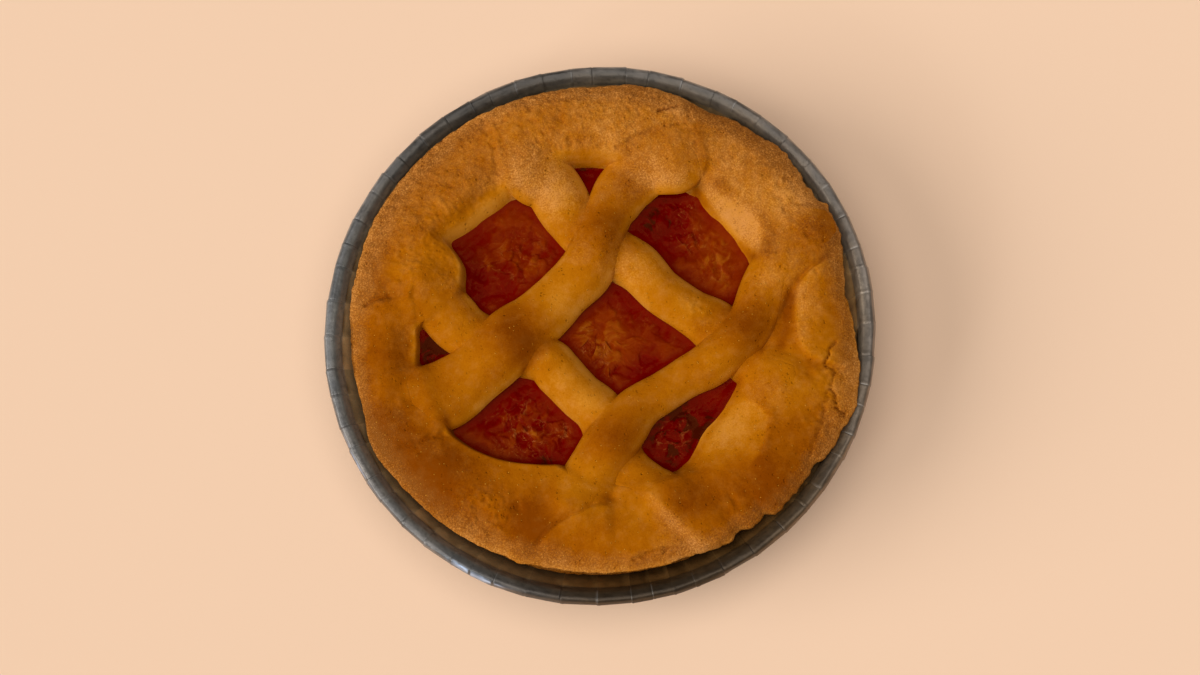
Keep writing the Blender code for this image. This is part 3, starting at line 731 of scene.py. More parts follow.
def outerRadius(degrees, shape=rimShape):
    # radius of the outer edge from the case's middle: the tart's own outline, moved, plus teeth of noise
    (radius,) = aroundTable(shape["outer"], degrees, shape["outerBlur"])
    a = np.radians(degrees)
    mx, my = shape["middle"]
    radius = radius + mx * np.cos(a) + my * np.sin(a)
    crumbly, size = shape["teeth"]
    for bearing, wide, height in shape["longTeeth"]:
        crumbly = crumbly + height * bell((degrees - bearing + 180) % 360 - 180, wide)
    return radius + crumbly * noise(50 * np.cos(a), 50 * np.sin(a), size, 71, 3, 0.65)    # read at 50 mm


def rimField(x, y, shape=rimShape):
    # height of the folded rim: inner slope 1-(1-t)^p up to the shoulder, where p falls from 2 for short
    # slopes to 1.3 for long ones so that these are flat facets with a clear upper edge; then a low dome and
    # a rounded outer edge. t is the share of the slope and q the share from the shoulder to the outer edge
    r, degrees = polar(x, y)
    foot, slope, shoulder = innerEdge(degrees)
    outer = outerRadius(degrees)
    top = foot + slope
    least, more, *widths = shape["slopeUnder"]
    under = least + more * smoothStep(slope, *widths)
    t = np.clip((r - (foot - under)) / (slope + under), 0, 1)
    most, less, *widths = shape["slopePower"]
    power = most - less * smoothStep(slope, *widths)
    rise = shape["jamHeight"] + (shoulder - shape["jamHeight"]) * (1 - (1 - t) ** power)
    q = np.clip((r - top) / (outer - top), 0, 1)
    arch = np.sin(np.pi * np.clip(q * shape["archSpan"], 0, 1)) ** shape["archPower"]
    dome = shoulder + shape["dome"] * arch - shape["edgeDrop"] * q ** 2
    z = np.where(r < top, rise, dome)
    edge = np.clip((q - shape["edgeRound"]) / (1 - shape["edgeRound"]), 0, 1)
    power = shape["edgePower"]
    z = shape["edgeHeight"] + (z - shape["edgeHeight"]) * (1 - edge ** power) ** (1 / power)
    return z, t, q


# The look of all creases: how far they wander (mm, size), how patchy their painted shade is (level, change,
# size), the part of the length over which each end fades, and the lip's place, its width and the shade's
# width, all three in widths of the groove. The look of all ledges: that part, and the reach in mm of their
# painted light and shade.
creaseLook = {"wander": (0.45, 1.7), "patchy": (0.75, 0.5, 1.3), "fade": 0.12,
              "lipPlace": 1.6, "lipWidth": 1.4, "darkWidth": 0.75}
ledgeLook = {"fade": 0.15, "stepShadingReach": 2.2}


def fadedEnds(share, part):
    # 1 along a line, falling smoothly to 0 over that part of its length at both ends
    return smoothStep(share, 0.0, part) * (1 - smoothStep(share, 1 - part, 1.0))


def addCreases(x, y, creases, look=creaseLook):
    # bell-shaped grooves that fade at their ends, with a lip on one side, and the painted shade that they
    # carry
    depth, dark = np.zeros(x.shape), np.zeros(x.shape)
    amount, size = look["wander"]
    wander = amount * noise(x, y, size, 91, 3, 0.65)
    level, amount, size = look["patchy"]
    patchy = level + amount * noise(x, y, size, 95, 2)
    for points, width, deep, lip, darkness in creases.values():
        d, side, share = lineDistance(x + wander, y + wander, points)
        fade = fadedEnds(share, look["fade"])
        beside = side * np.sign(lip or 1) * d - look["lipPlace"] * width
        depth += (abs(lip) * bell(beside, look["lipWidth"] * width) - deep * bell(d, width)) * fade
        dark += darkness * bell(d, look["darkWidth"] * width) * fade * patchy
    return depth, dark


def addLedges(x, y, ledges, look=ledgeLook):
    # smooth steps up to the left of each line, fading with distance and at the ends; their painted light and
    # shade fades sooner
    total, paintedStepShading = np.zeros(x.shape), np.zeros(x.shape)
    for points, width, height, reach, contrast in ledges.values():
        d, side, share = lineDistance(x, y, points)
        fade = fadedEnds(share, look["fade"])
        step = smoothStep(d * side, -0.5 * width, 0.5 * width)
        total += height * step * bell(d, reach) * fade
        paintedStepShading += contrast * (1 - 2 * step) * bell(d, look["stepShadingReach"]) * fade
    return total, paintedStepShading


# Smooth patches and rough, crumbly ones: (x, y, radius, strength).
smoothSpots = {
    "westLobe": (-41.0, -2.0, 7.0, 0.7), "southEast": (28.0, -22.0, 13.0, 0.85),
    "south": (12.0, -40.0, 10.0, 0.3),
}
crumbSpots = {
    "southWest": (-21.5, -37.5, 5.0, 1.0), "northWest": (-34.0, 24.0, 8.0, 0.5),
    "northWestLow": (-38.0, 13.0, 5.0, 0.6), "north": (-21.0, 40.0, 6.0, 0.6),
    "east": (46.0, -10.0, 4.5, 0.6), "eastLow": (44.0, -20.0, 4.0, 0.7),
    "northEast": (36.0, 28.0, 5.0, 0.7), "underNorth": (20.0, 4.0, 3.6, 1.2),
    "west": (-44.0, 6.5, 3.0, 0.5), "stripEnd": (38.0, 19.0, 4.0, 0.4), "south": (27.0, -36.0, 4.0, 0.3),
}
# The dough's own unevenness: the height of each layer in mm, and its grain size in mm.
reliefShape = {
    "swell": (0.12, 8.0), "crag": (0.16, 1.4), "flakes": (0.30, 1.2), "grain": (0.06, 0.8),
    "pits": (0.18, 1.0),
    # sandiness: noise (amount, size), more upwards and a little more leftwards (per mm, share), level, and
    # the range from none to full
    "sandyNoise": (0.4, 9.0), "sandySlope": (0.014, 0.1), "sandyLevel": 0.10, "sandyRange": (-0.2, 0.9),
    # how crumbly sandy dough is, crags that are everywhere, and the noise between which flakes and pits
    # set in; then how many grains and pits there are on dough that isn't sandy, and on dough that is
    "sandyCrumbs": 0.30, "cragLeast": 0.03, "flakeRange": (0.15, 0.40), "pitRange": (0.55, 0.85),
    "grainLeast": 0.25, "grainSandy": 0.9, "pitLeast": 0.10,
}


def pastryRelief(x, y, shape=reliefShape):
    # layers of noise: slow swells everywhere; crags, flakes and sandy grain where the crust is crumbly
    amount, size = shape["sandyNoise"]
    upwards, leftwards = shape["sandySlope"]
    sandy = amount * noise(x, y, size, 45, 2) + upwards * (y - leftwards * x) + shape["sandyLevel"]
    sandy = smoothStep(sandy, *shape["sandyRange"])
    for cx, cy, radius, strength in smoothSpots.values():
        sandy = sandy * (1 - strength * spot(x, y, cx, cy, radius))
    crumbly = np.maximum(shape["sandyCrumbs"] * sandy, strongestSpot(x, y, crumbSpots))
    height, size = shape["swell"]
    swell = height * noise(x, y, size, 21, 2)
    height, size = shape["crag"]
    rough = (shape["cragLeast"] + height * crumbly) * noise(x, y, size, 33, 3, 0.7)
    height, size = shape["flakes"]
    rough = rough + height * crumbly * smoothStep(noise(x, y, size, 39, 2, 0.6), *shape["flakeRange"])
    height, size = shape["grain"]
    share = shape["grainLeast"] + shape["grainSandy"] * sandy + crumbly
    rough = rough + height * noise(x, y, size, 57, 2, 0.8) * share
    height, size = shape["pits"]
    pits = smoothStep(noise(x, y, size, 63, 2, 0.6), *shape["pitRange"])
    rough = rough - height * pits * (shape["pitLeast"] + sandy)
    return swell, np.clip(sandy + crumbly, 0, 1), rough


# Streaks of colour: points, half width in mm, change of baked depth, change of sandiness.
streaks = {
    # lowerSide: paler and sandier, painted light on the flap's side that faces the light
    "lowerSide": ([(10.3, -35.0), (15.0, -39.9), (20.3, -44.6)], 1.5, -0.17, 0.45),
    "northWestSlope": ([(-30.2, 18.2), (-26.0, 22.2), (-22.3, 25.6), (-19.4, 27.8)], 1.7, -0.27, -0.9),
    "northEastBand": ([(8.0, 47.6), (20.0, 44.0), (32.0, 36.6), (41.0, 27.0)], 2.2, 0.22, 0.35),
    "northSlope": ([(-7.5, 34.5), (-2.0, 35.6), (4.0, 34.5)], 1.3, -0.1, -0.25),
    "upperStripEdge": ([(-23.0, -16.0), (-15.0, -10.5), (-10.0, -6.0)], 1.2, -0.2, 0.0),
    "upperStripEdgeHigh": ([(-16.5, 5.5), (-11.0, 11.0), (-7.5, 17.0)], 1.4, -0.15, 0.0),
    "underStripEdge": ([(3.0, 9.5), (10.0, 2.8), (18.0, -1.2)], 1.0, -0.15, 0.0),
    "underStripEdgeLow": ([(-13.0, -12.0), (-7.5, -17.0), (-4.5, -20.0)], 1.0, -0.25, 0.1),
    "bulbFoot": ([(8.5, 30.0), (12.0, 28.6), (17.0, 28.4)], 1.6, -0.2, 0.25),
    # bulbRight: browner, painted shade on the bulb's side away from the light
    "bulbRight": ([(20.0, 39.6), (21.0, 36.0), (21.6, 32.0)], 1.2, 0.22, -0.2),
    "facetOutside": ([
        (24.0, 28.4), (28.6, 25.0), (33.0, 21.6), (34.6, 17.6), (33.4, 13.6)], 1.3, 0.25, 0.0),
    "northEastFoot": ([
        (19.6, 27.8), (22.2, 24.4), (25.4, 20.6), (28.3, 16.9), (31.2, 13.4)], 0.75, 0.42, -0.6),
    "southEastFoot": ([
        (17.3, -27.4), (20.0, -24.2), (22.2, -20.6), (24.3, -17.8), (26.2, -14.4),
        (27.8, -10.8)], 0.9, 0.24, -0.5),
    "southWestFoot": ([
        (-29.6, -19.0), (-28.6, -20.8), (-26.9, -22.9), (-22.6, -25.3), (-18.0, -26.8), (-12.8, -27.7),
        (-9.0, -27.7)], 0.8, 0.26, -0.5),
    "flapEdge": ([(40.6, 6.5), (39.9, 2.0), (40.2, -3.5), (41.8, -6.2)], 1.5, -0.06, 0.2),
    "flapValley": ([(38.0, 5.0), (37.4, 2.0), (37.0, -1.0), (36.0, -4.5)], 1.3, 0.38, -0.1),
    "stripEastSide": ([(28.0, -10.0), (32.0, -5.5), (35.5, 0.5), (38.0, 6.0)], 1.1, 0.1, -0.1),
}
# Baked depth: (x, y, radius, amount); positive is browner, negative paler.
bakeSpots = {
    "overCrossNorth": (1.2, 20.5, 5.5, 0.45), "overCrossNorthUp": (7.5, 29.0, 3.5, 0.25),
    "overCrossWest": (-16.0, -1.5, 6.0, 0.55), "overCrossSouth": (3.0, -22.5, 5.5, 0.46),
    "overCrossEast": (29.5, -0.5, 5.5, 0.6), "bulb": (16.5, 36.5, 4.4, 0.17),
    "bulbPale": (12.5, 31.0, 3.0, -0.1), "stripEnd": (43.4, 18.6, 4.5, 0.5),
    "southEast": (18.4, -34.4, 6.0, 0.45), "southEastRim": (32.0, -32.0, 9.0, 0.55),
    "southWestRim": (-30.0, -30.0, 10.0, 0.62), "westLobe": (-41.0, -4.0, 8.0, 0.4),
    "southPatch": (-13.0, -39.0, 7.0, 0.55), "belowFlap": (41.6, -9.8, 2.2, 0.26),
    "northFace": (-2.5, 36.8, 3.0, 0.26), "westNorthWest": (-44.5, 14.0, 4.5, 0.14),
    "underSouthWest": (-13.5, -6.0, 4.0, 0.18), "northWestSpot": (-25.0, 40.5, 3.0, 0.2),
    "northPit": (-7.7, 42.6, 2.2, 0.25), "northWestSide": (-23.0, 33.0, 2.5, 0.15),
    "westCrease": (-42.5, 7.0, 3.5, 0.25), "northWestRim": (-33.0, 28.0, 12.0, 0.16),
    "westStripEnd": (-35.5, -15.0, 5.0, -0.06), "underMiddleWest": (-11.0, -6.5, 4.0, 0.15),
    "besideOverNorth": (-8.5, 33.0, 3.0, -0.2), "paleUnderNorth": (-15.5, 30.0, 3.6, -0.2),
    "underNorthLow": (-8.5, 26.5, 4.2, -0.4), "paleUnderEast": (9.0, 10.5, 5.5, -0.26),
    "paleCrumbs": (19.0, 3.6, 2.6, -0.25), "paleUnderWest": (-8.0, -9.5, 4.5, -0.22),
    # paleNorthEastSlope and paleSouthEastSlope: painted light on the two inner slopes that face the light
    "paleUnderSouth": (-0.5, -15.5, 4.0, -0.45), "paleNorthEastSlope": (27.0, 22.0, 5.5, -0.6),
    "paleSouthEastSlope": (25.0, -21.5, 6.0, -0.52), "paleMiddle": (-8.5, 5.0, 5.0, -0.3),
    "paleNorthStrip": (3.5, 26.5, 2.5, -0.05), "paleStripEast": (34.0, 9.5, 3.5, -0.1),
    "paleNorth": (-1.0, 39.0, 6.0, -0.15), "paleLowStrip": (5.5, -29.5, 4.0, -0.1),
    "paleSouthEnd": (-3.5, -32.0, 4.5, -0.22), "dimple": (2.5, -34.2, 1.1, 0.12),
    "northRim": (14.0, 45.5, 4.0, -0.12), "paleEast": (46.5, -12.0, 4.0, -0.22),
    "paleNorthEast": (40.0, 26.5, 5.0, -0.5), "lens": (2.0, -41.5, 6.0, 0.2),
    "westSouth": (-41.5, -20.0, 7.0, 0.55), "southEastHigh": (40.0, -21.0, 6.0, 0.16),
    "eastHigh": (47.0, 1.0, 3.5, 0.12), "paleTop": (16.0, 46.0, 4.0, -0.3),
}
# Sandiness: (x, y, radius, amount); the sandy colours carry more blue than the oily ones, painted sheen of
# the dry crust.
dustSpots = {
    "stripNorthWest": (-15.5, 31.5, 5.0, 0.45), "stripNorth": (-9.0, 29.5, 3.5, 0.2),
    "bulb": (12.0, 31.5, 4.0, 0.4), "underNorth": (9.0, 10.5, 4.0, 0.1),
    # northEastSlope and southEastSlope: sandier, painted light on the two inner slopes that face the light
    "northEastSlope": (28.0, 21.0, 5.5, 0.55), "southEastSlope": (24.5, -21.0, 5.0, 0.24),
    "stripEast": (34.0, 9.0, 3.5, 0.18), "eastFlap": (42.5, 3.0, 4.5, 0.22),
    "eastHigh": (48.0, 1.0, 4.0, -0.25), "south": (7.0, -46.0, 8.0, -0.22),
    "southSouthWest": (-15.0, -41.5, 6.0, -0.25), "underSouth": (1.0, -16.5, 4.0, -0.38),
    "southEastRim": (30.0, -36.0, 9.0, -0.2), "northRim": (0.0, 44.0, 16.0, 0.3),
    "northEastRim": (32.0, 36.0, 16.0, 0.4), "northWestRim": (-34.0, 28.0, 14.0, 0.35),
    # lowerSide: sandier, painted light on the flap's side that faces the light
    "westRim": (-43.0, 12.0, 6.0, 0.1), "lowerSide": (14.5, -40.5, 3.5, 0.45),
    "southWestEdge": (-42.0, -23.0, 7.0, 0.35), "eastEdge": (45.5, -12.0, 5.0, -0.1),
    "paleMiddle": (-4.5, 8.5, 3.5, 0.15), "paleWest": (-35.5, 10.0, 5.0, 0.1),
    "topMiddle": (16.5, 38.0, 4.0, -0.2), "northWestOily": (-30.0, 20.5, 7.0, -0.35),
    "overMiddle": (-8.0, 4.5, 5.5, -0.35), "underMiddle": (-10.0, -6.5, 5.0, -0.2),
    "underNorthWest": (-10.0, 26.0, 4.0, 0.3), "underCross": (20.5, 2.5, 4.0, -0.12),
    "eastMiddle": (33.5, -14.0, 5.0, 0.3), "northWestLow": (-36.0, 14.0, 6.0, -0.25),
    "overCross": (-4.5, 15.0, 3.5, 0.2), "besideCross": (21.5, -1.5, 3.5, 0.25),
    "southEastLow": (24.5, -26.0, 4.0, 0.16), "northNorthEast": (17.0, 44.0, 7.0, 0.25),
    "eastEnd": (40.0, 22.0, 6.0, 0.25),
}
bakeItem, dustItem = 2, 3    # places in a streak's row
# How baked and how sandy the crust is apart from them: level, slow and fine noise (amount, size in mm), and
# how much raised parts and hollows (painted light and shade), cracks (painted shade), the edge by the jam
# (moister crust and painted fill light) or the rim's outer edge (painted sheen) change it.
crustShades = {
    "bake": 0.44, "bakeSlow": (0.07, 6.0), "bakeFine": (0.05, 1.8), "paintedRelief": -0.36, "shadeInCreases": 0.3,
    "besideJam": -0.10, "touchingJam": 0.08,
    "dustAndSheen": -0.05, "dustSlow": (0.12, 5.0), "sandyParts": 0.24, "sheenEdge": 0.75,
}


def addStreaks(x, y, item):
    # the sum of the streaks, each a bell across its line: amount * exp(-(distance / half width)^2)
    return sum(row[item] * bell(lineDistance(x, y, row[0])[0], row[1]) for row in streaks.values())


def bakeField(x, y, top, shades=crustShades):
    # how deeply the crust is baked: level, named spots and streaks, noise, paler raised grains and browner
    # hollows (painted light and shade), browner cracks (painted shade), paler crust beside the jam (moister
    # crust and painted fill light) and a brown line beside it, all added up
    slow, slowSize = shades["bakeSlow"]
    fine, fineSize = shades["bakeFine"]
    bake = shades["bake"] + slow * noise(x, y, slowSize, 81, 3) + fine * noise(x, y, fineSize, 87, 2)
    bake = bake + addSpots(x, y, bakeSpots) + addStreaks(x, y, bakeItem) + top["paintedStepShading"]
    # painted light and shade: raised relief paler, low relief browner
    bake = bake + shades["paintedRelief"] * np.clip(top["rough"], -0.25, 0.28)
    bake = bake + shades["shadeInCreases"] * np.minimum(top["dark"], 0.5)
    return bake + shades["besideJam"] * top["beside"] + shades["touchingJam"] * top["touching"]


def dustField(x, y, top, edge, shades=crustShades):
    # share of dry, sandy crust: level, spots, streaks, noise and painted sheen at the outer edge; none beside
    # the jam
    slow, slowSize = shades["dustSlow"]
    dustAndSheen = shades["dustAndSheen"] + shades["sandyParts"] * top["sandy"] + slow * noise(x, y, slowSize, 141, 3)
    dustAndSheen = dustAndSheen + addSpots(x, y, dustSpots) + addStreaks(x, y, dustItem)
    return np.clip((dustAndSheen + shades["sheenEdge"] * smoothStep(edge, 0.64, 0.92)) * (1 - top["beside"]), 0, 1)


# How pastry meets jam and other pastry. Pairs are the two ends of a smooth step: mm, or shares of the
# slope or of the way out, by their note.
meetings = {
    "rimPart": (0.3, 0.9),                   # share of the slope where the rim's own forms start
    "flatter": (0.6, 0.93, 1.0),             # share by which these flatten, and where on the way out
    "stripCreases": 0.5,                     # share of the creases' depth that the strips take
    "free": (0.6, 2.2),                      # mm above other pastry: with nothing but jam beside it
    "calm": (0.75, 0.4, 3.0),                # share of relief lost at such an edge, and mm from it
    "slopeRelief": (0.4, 0.6, 0.75, 1.0),    # relief on the slope, more above it, and where on the slope
    "dip": (0.7, 4.0),                       # share of the height difference, and the most in mm
    "beside": (0.4, 2.2), "touching": (0.0, 0.8),                  # mm from such an edge
    "meltLeast": 0.2, "meltHeights": (20.0, 22.0),                 # mm: reach low down, and the heights
}


def melted(heights, reach):
    # k ln(sum exp(height / k)): the highest of several surfaces, running into the next highest over the
    # reach k, which is short down by the jam so that the corners of the openings stay sharp
    stack = np.stack(heights)
    highest = stack.max(axis=0)
    least = meetings["meltLeast"]
    reach = least + (reach - least) * smoothStep(highest, *meetings["meltHeights"])
    return highest + reach * np.log(np.exp((stack - highest) / reach).sum(axis=0))


def pastryTop(x, y, own, fromEdge):
    # the one surface of all the pastry, strips and rim melted together; where another piece is higher, this
    # one dips under it so that only one of them shows. fromEdge is how far in from its own edge a point is
    z, slopeShare, q = rimField(x, y)
    swell, sandy, rough = pastryRelief(x, y)
    depth, dark = addCreases(x, y, rimCreases)
    onRim = smoothStep(slopeShare, *meetings["rimPart"])
    ledges, paintedStepShading = addLedges(x, y, rimLedges)
    forms = addLumps(x, y, rimLumps) + ledges + depth
    flatter, *places = meetings["flatter"]
    heights = {"rim": z + forms * onRim * (1 - flatter * smoothStep(q, *places))}
    for name, strip in strips.items():
        heights[name] = stripField(strip, x, y) + meetings["stripCreases"] * depth
    highest = np.stack(list(heights.values())).max(axis=0)
    woven = melted([heights[name] for name in strips], stripHeights["melt"])
    joined = melted([heights["rim"], woven], stripHeights["rimMelt"])
    mine = heights.pop(own)
    others = np.stack(list(heights.values())).max(axis=0)
    free = smoothStep(mine - others, *meetings["free"])
    lost, *places = meetings["calm"]
    calmEdge = 1 - lost * (1 - smoothStep(fromEdge, *places)) * free
    least, more, *places = meetings["slopeRelief"]
    rough = rough * calmEdge * (least + more * smoothStep(slopeShare, *places))
    share, most = meetings["dip"]
    return {"z": joined + swell + rough - np.minimum(share * (highest - mine), most),
            "q": q, "sandy": sandy, "rough": rough, "paintedStepShading": paintedStepShading * onRim, "dark": dark * onRim,
            "beside": (1 - smoothStep(fromEdge, *meetings["beside"])) * free,
            "touching": (1 - smoothStep(fromEdge, *meetings["touching"])) * free}


def makeRim(shape):
    # a closed ring: the top from the inner foot to the outer edge, then the wall back under the jam
    degrees = np.linspace(0, 360, shape["around"], endpoint=False)[:, None]
    v = np.linspace(0, 1, shape["across"])[None, :]
    foot = innerEdge(degrees)[0]
    outer = outerRadius(degrees)
    crowded, even = shape["spacing"]
    share = crowded * (0.5 - 0.5 * np.cos(np.pi * v)) + even * v    # closer columns at both edges
    r = (foot - shape["reach"]) + (outer - foot + shape["reach"]) * share
    a = np.radians(degrees)
    x, y = r * np.cos(a), r * np.sin(a)
    top = pastryTop(x, y, "rim", r - foot)
    amount, size = shape["ragged"]
    ragged = amount * noise(30 * np.cos(a) + 60, 30 * np.sin(a), size, 97, 2)    # read on its own circle
    wall = [(outer - inwards + part * ragged, height) for inwards, part, height in shape["brim"]]
    wall += [(radius + part * ragged, height) for radius, part, height in shape["wall"]]
    wall += [(foot - shape["foot"][0], shape["foot"][1])]
    rings = [ring(radius, height, a) for radius, height in wall]
    points = np.concatenate([np.stack([x, y, top["z"]], axis=-1)] + rings, axis=1)
    # painted fill light: the inner slope that faces away from the light, on the left side, is made paler
    paintedFill = np.clip(-np.cos(a) - 0.2 * np.sin(a), 0, 1)    # the left side's inner slope faces right
    bake = bakeField(x, y, top) + shape["paintedFill"] * paintedFill * top["beside"]
    # browner far out; paler at the outer edge, painted sheen
    for amount, start, end in (shape["farOut"], shape["sheenEdge"]):
        bake = bake + amount * smoothStep(top["q"], start, end)
    hidden = len(rings)
    return gridPiece("crustRim", points, crustMaterial, closeRows=True, closeColumns=True, attributes={
        "bake": widened(bake, [0.25, 0.25] + [0.5] * (hidden - 2)),
        "creaseShade": widened(np.clip(top["dark"], 0, 1), [0.1] * hidden),
        "dustAndSheen": widened(dustField(x, y, top, top["q"]), [0.6] * hidden)})


rim = makeRim(rimShape)
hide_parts("pastry_shell")
print("tart: rim made,", len(rim.data.polygons), "faces")


def makeStrip(name, strip, heights):
    # a pillow-shaped section carried along the middle line, with round ends: across it goes |cos|^(2/round)
    # times the half width; the upper half is the shared pastry surface, the lower half hangs below it
    half = strip["w"] * 0.5
    cap = np.sin(np.linspace(0, 0.5 * np.pi, heights["capRows"]))[1:]
    pastEnd = np.concatenate([-cap[::-1] * half[0], np.zeros(len(half)), cap * half[-1]])[:, None]
    pick = np.concatenate([np.zeros(len(cap), int), np.arange(len(half)), np.full(len(cap), len(half) - 1)])
    middle, half, cx, cy, tx, ty = (values[pick][:, None] for values in (
        strip["z"], half, strip["x"], strip["y"], strip["tx"], strip["ty"]))
    angle = np.linspace(0, 2 * np.pi, heights["columns"], endpoint=False)[None, :]
    localHalf = np.sqrt(np.maximum(half ** 2 - pastEnd ** 2, 0))
    sideways = np.sign(np.cos(angle)) * np.abs(np.cos(angle)) ** (2 / heights["round"]) * localHalf
    x, y = cx + tx * pastEnd - ty * sideways, cy + ty * pastEnd + tx * sideways
    u = np.hypot(sideways, pastEnd) / half
    crown = crownShare(u)
    top = pastryTop(x, y, name, (1 - u) * half)
    edge = smoothStep(crown, 0.0, heights["seam"])    # the relief fades there, so top and underside meet
    upper = np.sin(angle) >= 0
    z = np.where(upper, middle + (top["z"] - middle) * edge, middle - heights["bottom"] * crown)
    # painted fill light: beside the jam, the side of a strip that faces away from the light is made paler
    wayX, wayY = heights["paintedFillWay"]
    paintedFill = np.sign(sideways) * (wayY * tx - wayX * ty)
    bake = bakeField(x, y, top) - heights["paintedFill"] * np.clip(paintedFill, 0, 1) * top["beside"]
    return gridPiece(name, np.stack([x, y, z], axis=-1), stripMaterial, closeColumns=True, attributes={
        "bake": bake, "creaseShade": np.clip(top["dark"] * upper, 0, 1),
        "dustAndSheen": np.clip(dustField(x, y, top, 0) - 0.05, 0, 1)})


for name, strip in strips.items():
    piece = makeStrip(name, strip, stripHeights)
    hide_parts(strip["node"])
print("tart: four strips made")


jamShape = {
    # mm: height of the surface, its radius, slow swells, and how far the fruit's outlines bend
    "height": 18.9, "radius": 39.5, "rough": 0.14, "bend": 0.9,
    # flat chunks and scraps of fruit: (size, share of the surface, height); and the height of the skin
    "chunks": (2.8, 0.38, 0.14), "scraps": (1.3, 0.30, 0.12), "skin": 0.16,
    # broken bits of fruit: size and height in mm, how much paler they are, and the share numbers between
    # which a bit starts to stand out
    "bits": 2.8, "bitHeight": 0.60, "bitTone": 0.36, "bitShares": (0.45, 0.60),
    # parts of a bit's height: flat and slanted, with the width in mm of the bevel of each; mm of the small
    # bits; the level from which paler and darker count, and the small bits' part in it
    "flatPart": (0.35, 0.25), "slantedPart": (1.0, 0.2), "smallHeight": 0.14, "plainLevel": 0.45,
    "smallTone": 0.5,
    # bitGlint: a painted glint, a bright line in a bit
    "bitGlint": (0.55, 0.16, 0.13),           # bright line in a bit: share, mm in from its edge, width in mm
    "skinSize": 2.2, "skinWidth": 0.07,     # curls of skin: size in mm, and width of the ridge in noise
    "fruitHeight": 0.8,                     # mm: how high the larger lumps of fruit are
    # tone: level, and what swells, lumps, chunks and scraps add
    "toneParts": (0.37, 0.08, 0.32, 0.12, 0.09),
    # mm from the pastry: where it is calm and where no more; how high it climbs (mm, the two distances)
    "calm": (0.2, 2.2), "climb": (0.35, -0.6, 1.4), "sink": 0.1,
    "around": 560, "across": 160, "spacing": 0.85,    # rows, columns, and how these crowd at the edge
    # how high the surface ends under the rim and between which radii it gets there, then its side and
    # floor as (radius, height)
    "brimHeight": 18.4, "brimRadii": (36, 39),
    "side": [(40.2, 17.8), (40.0, 16.0), (36.0, 6.0), (34.0, 4.5), (17.0, 4.5), (0.0, 4.5)],
    # tone of the fruit: (x, y, radius, amount); higher is more amber, and the lowest reach the painted shade
    # colour
    "tones": {
        "middle": (0.5, -1.5, 6.5, 0.3), "middleChunk": (-2.4, 0.4, 1.6, 0.22),
        "middleTop": (5.0, 8.5, 3.5, -0.15), "middleRight": (13.0, -3.5, 4.0, 0.02),
        "middleEdge": (9.5, -8.5, 3.0, -0.32), "northWest": (-14.0, 15.5, 7.0, 0.16),
        "northWestLeft": (-24.5, 10.0, 4.5, -0.28), "northWestMiddle": (-18.5, 12.0, 1.6, -0.16),
        "northTriangle": (-2.0, 33.0, 4.0, -0.34), "northEastLeft": (12.5, 22.5, 6.0, -0.44),
        "northEastUpper": (20.0, 21.5, 5.0, 0.14), "northEastRight": (24.0, 15.0, 7.5, 0.38),
        "southWest": (-17.5, -21.5, 6.0, 0.06), "southWestTop": (-14.5, -13.5, 4.0, -0.16),
        "southWestUpper": (-23.0, -18.5, 3.0, -0.2), "southWestRed": (-8.5, -20.5, 2.2, 0.04),
        "southWestLow": (-10.5, -26.0, 3.5, -0.36), "southWestBand": (-3.5, -17.0, 3.0, 0.14),
        "southEast": (16.0, -20.0, 8.0, -0.54), "southEastSpot": (14.0, -19.5, 1.2, 0.25),
        # westTriangle: darkest, painted shade in the small opening
        "westTriangle": (-33.0, -3.0, 4.0, -0.55)},
    # flat-topped pieces of fruit: (x, y, half length, half width, turn, height)
    "fruit": {
        "middleLump": (-2.2, 0.2, 2.2, 1.6, 30, 0.35), "middlePlain": (6.0, -4.0, 5.0, 3.4, 20, 0.25),
        "southWestChunk": (-12.4, -21.0, 2.2, 1.5, -15, 0.55),
        "southWestUpper": (-17.6, -17.4, 1.8, 1.2, 10, 0.5),
        "southWestLeft": (-21.0, -21.5, 2.6, 2.0, 30, 0.25),
        "northWestLump": (-21.8, 13.4, 0.8, 1.0, 0, 0.6),
        "northWestRound": (-24.4, 7.6, 0.9, 0.9, 0, 0.4),
        "northEastRound": (12.2, 22.0, 1.6, 1.4, 0, 0.3),
        "southEastLump": (14.5, -20.0, 1.8, 1.2, 40, 0.3)},
    # where bits of fruit stand out and painted glints show on the skin: (x, y, radius, share)
    "bitsAndGlintSpots": {
        "middle": (-1.0, -4.0, 3.2, 0.9), "middleLow": (1.5, -8.0, 2.2, 0.9),
        "middleChunk": (-2.4, 0.4, 2.0, 0.7), "middleTop": (10.5, 2.5, 2.4, 0.5),
        "northWest": (-15.5, 15.0, 6.0, 0.6), "northWestLump": (-22.0, 13.4, 1.6, 0.9),
        "northEast": (18.0, 18.5, 3.2, 0.8), "northEastLow": (23.0, 13.0, 4.5, 0.6),
        "northEastTop": (17.5, 25.5, 3.0, 0.6), "southWest": (-14.5, -20.0, 6.5, 0.85),
        "southWestRight": (-7.5, -20.0, 2.8, 1.0), "southWestTop": (-8.0, -14.5, 2.0, 0.7),
        "southEast": (15.0, -20.5, 4.0, 0.9), "all": (0.0, 0.0, 60.0, 0.12)},
}


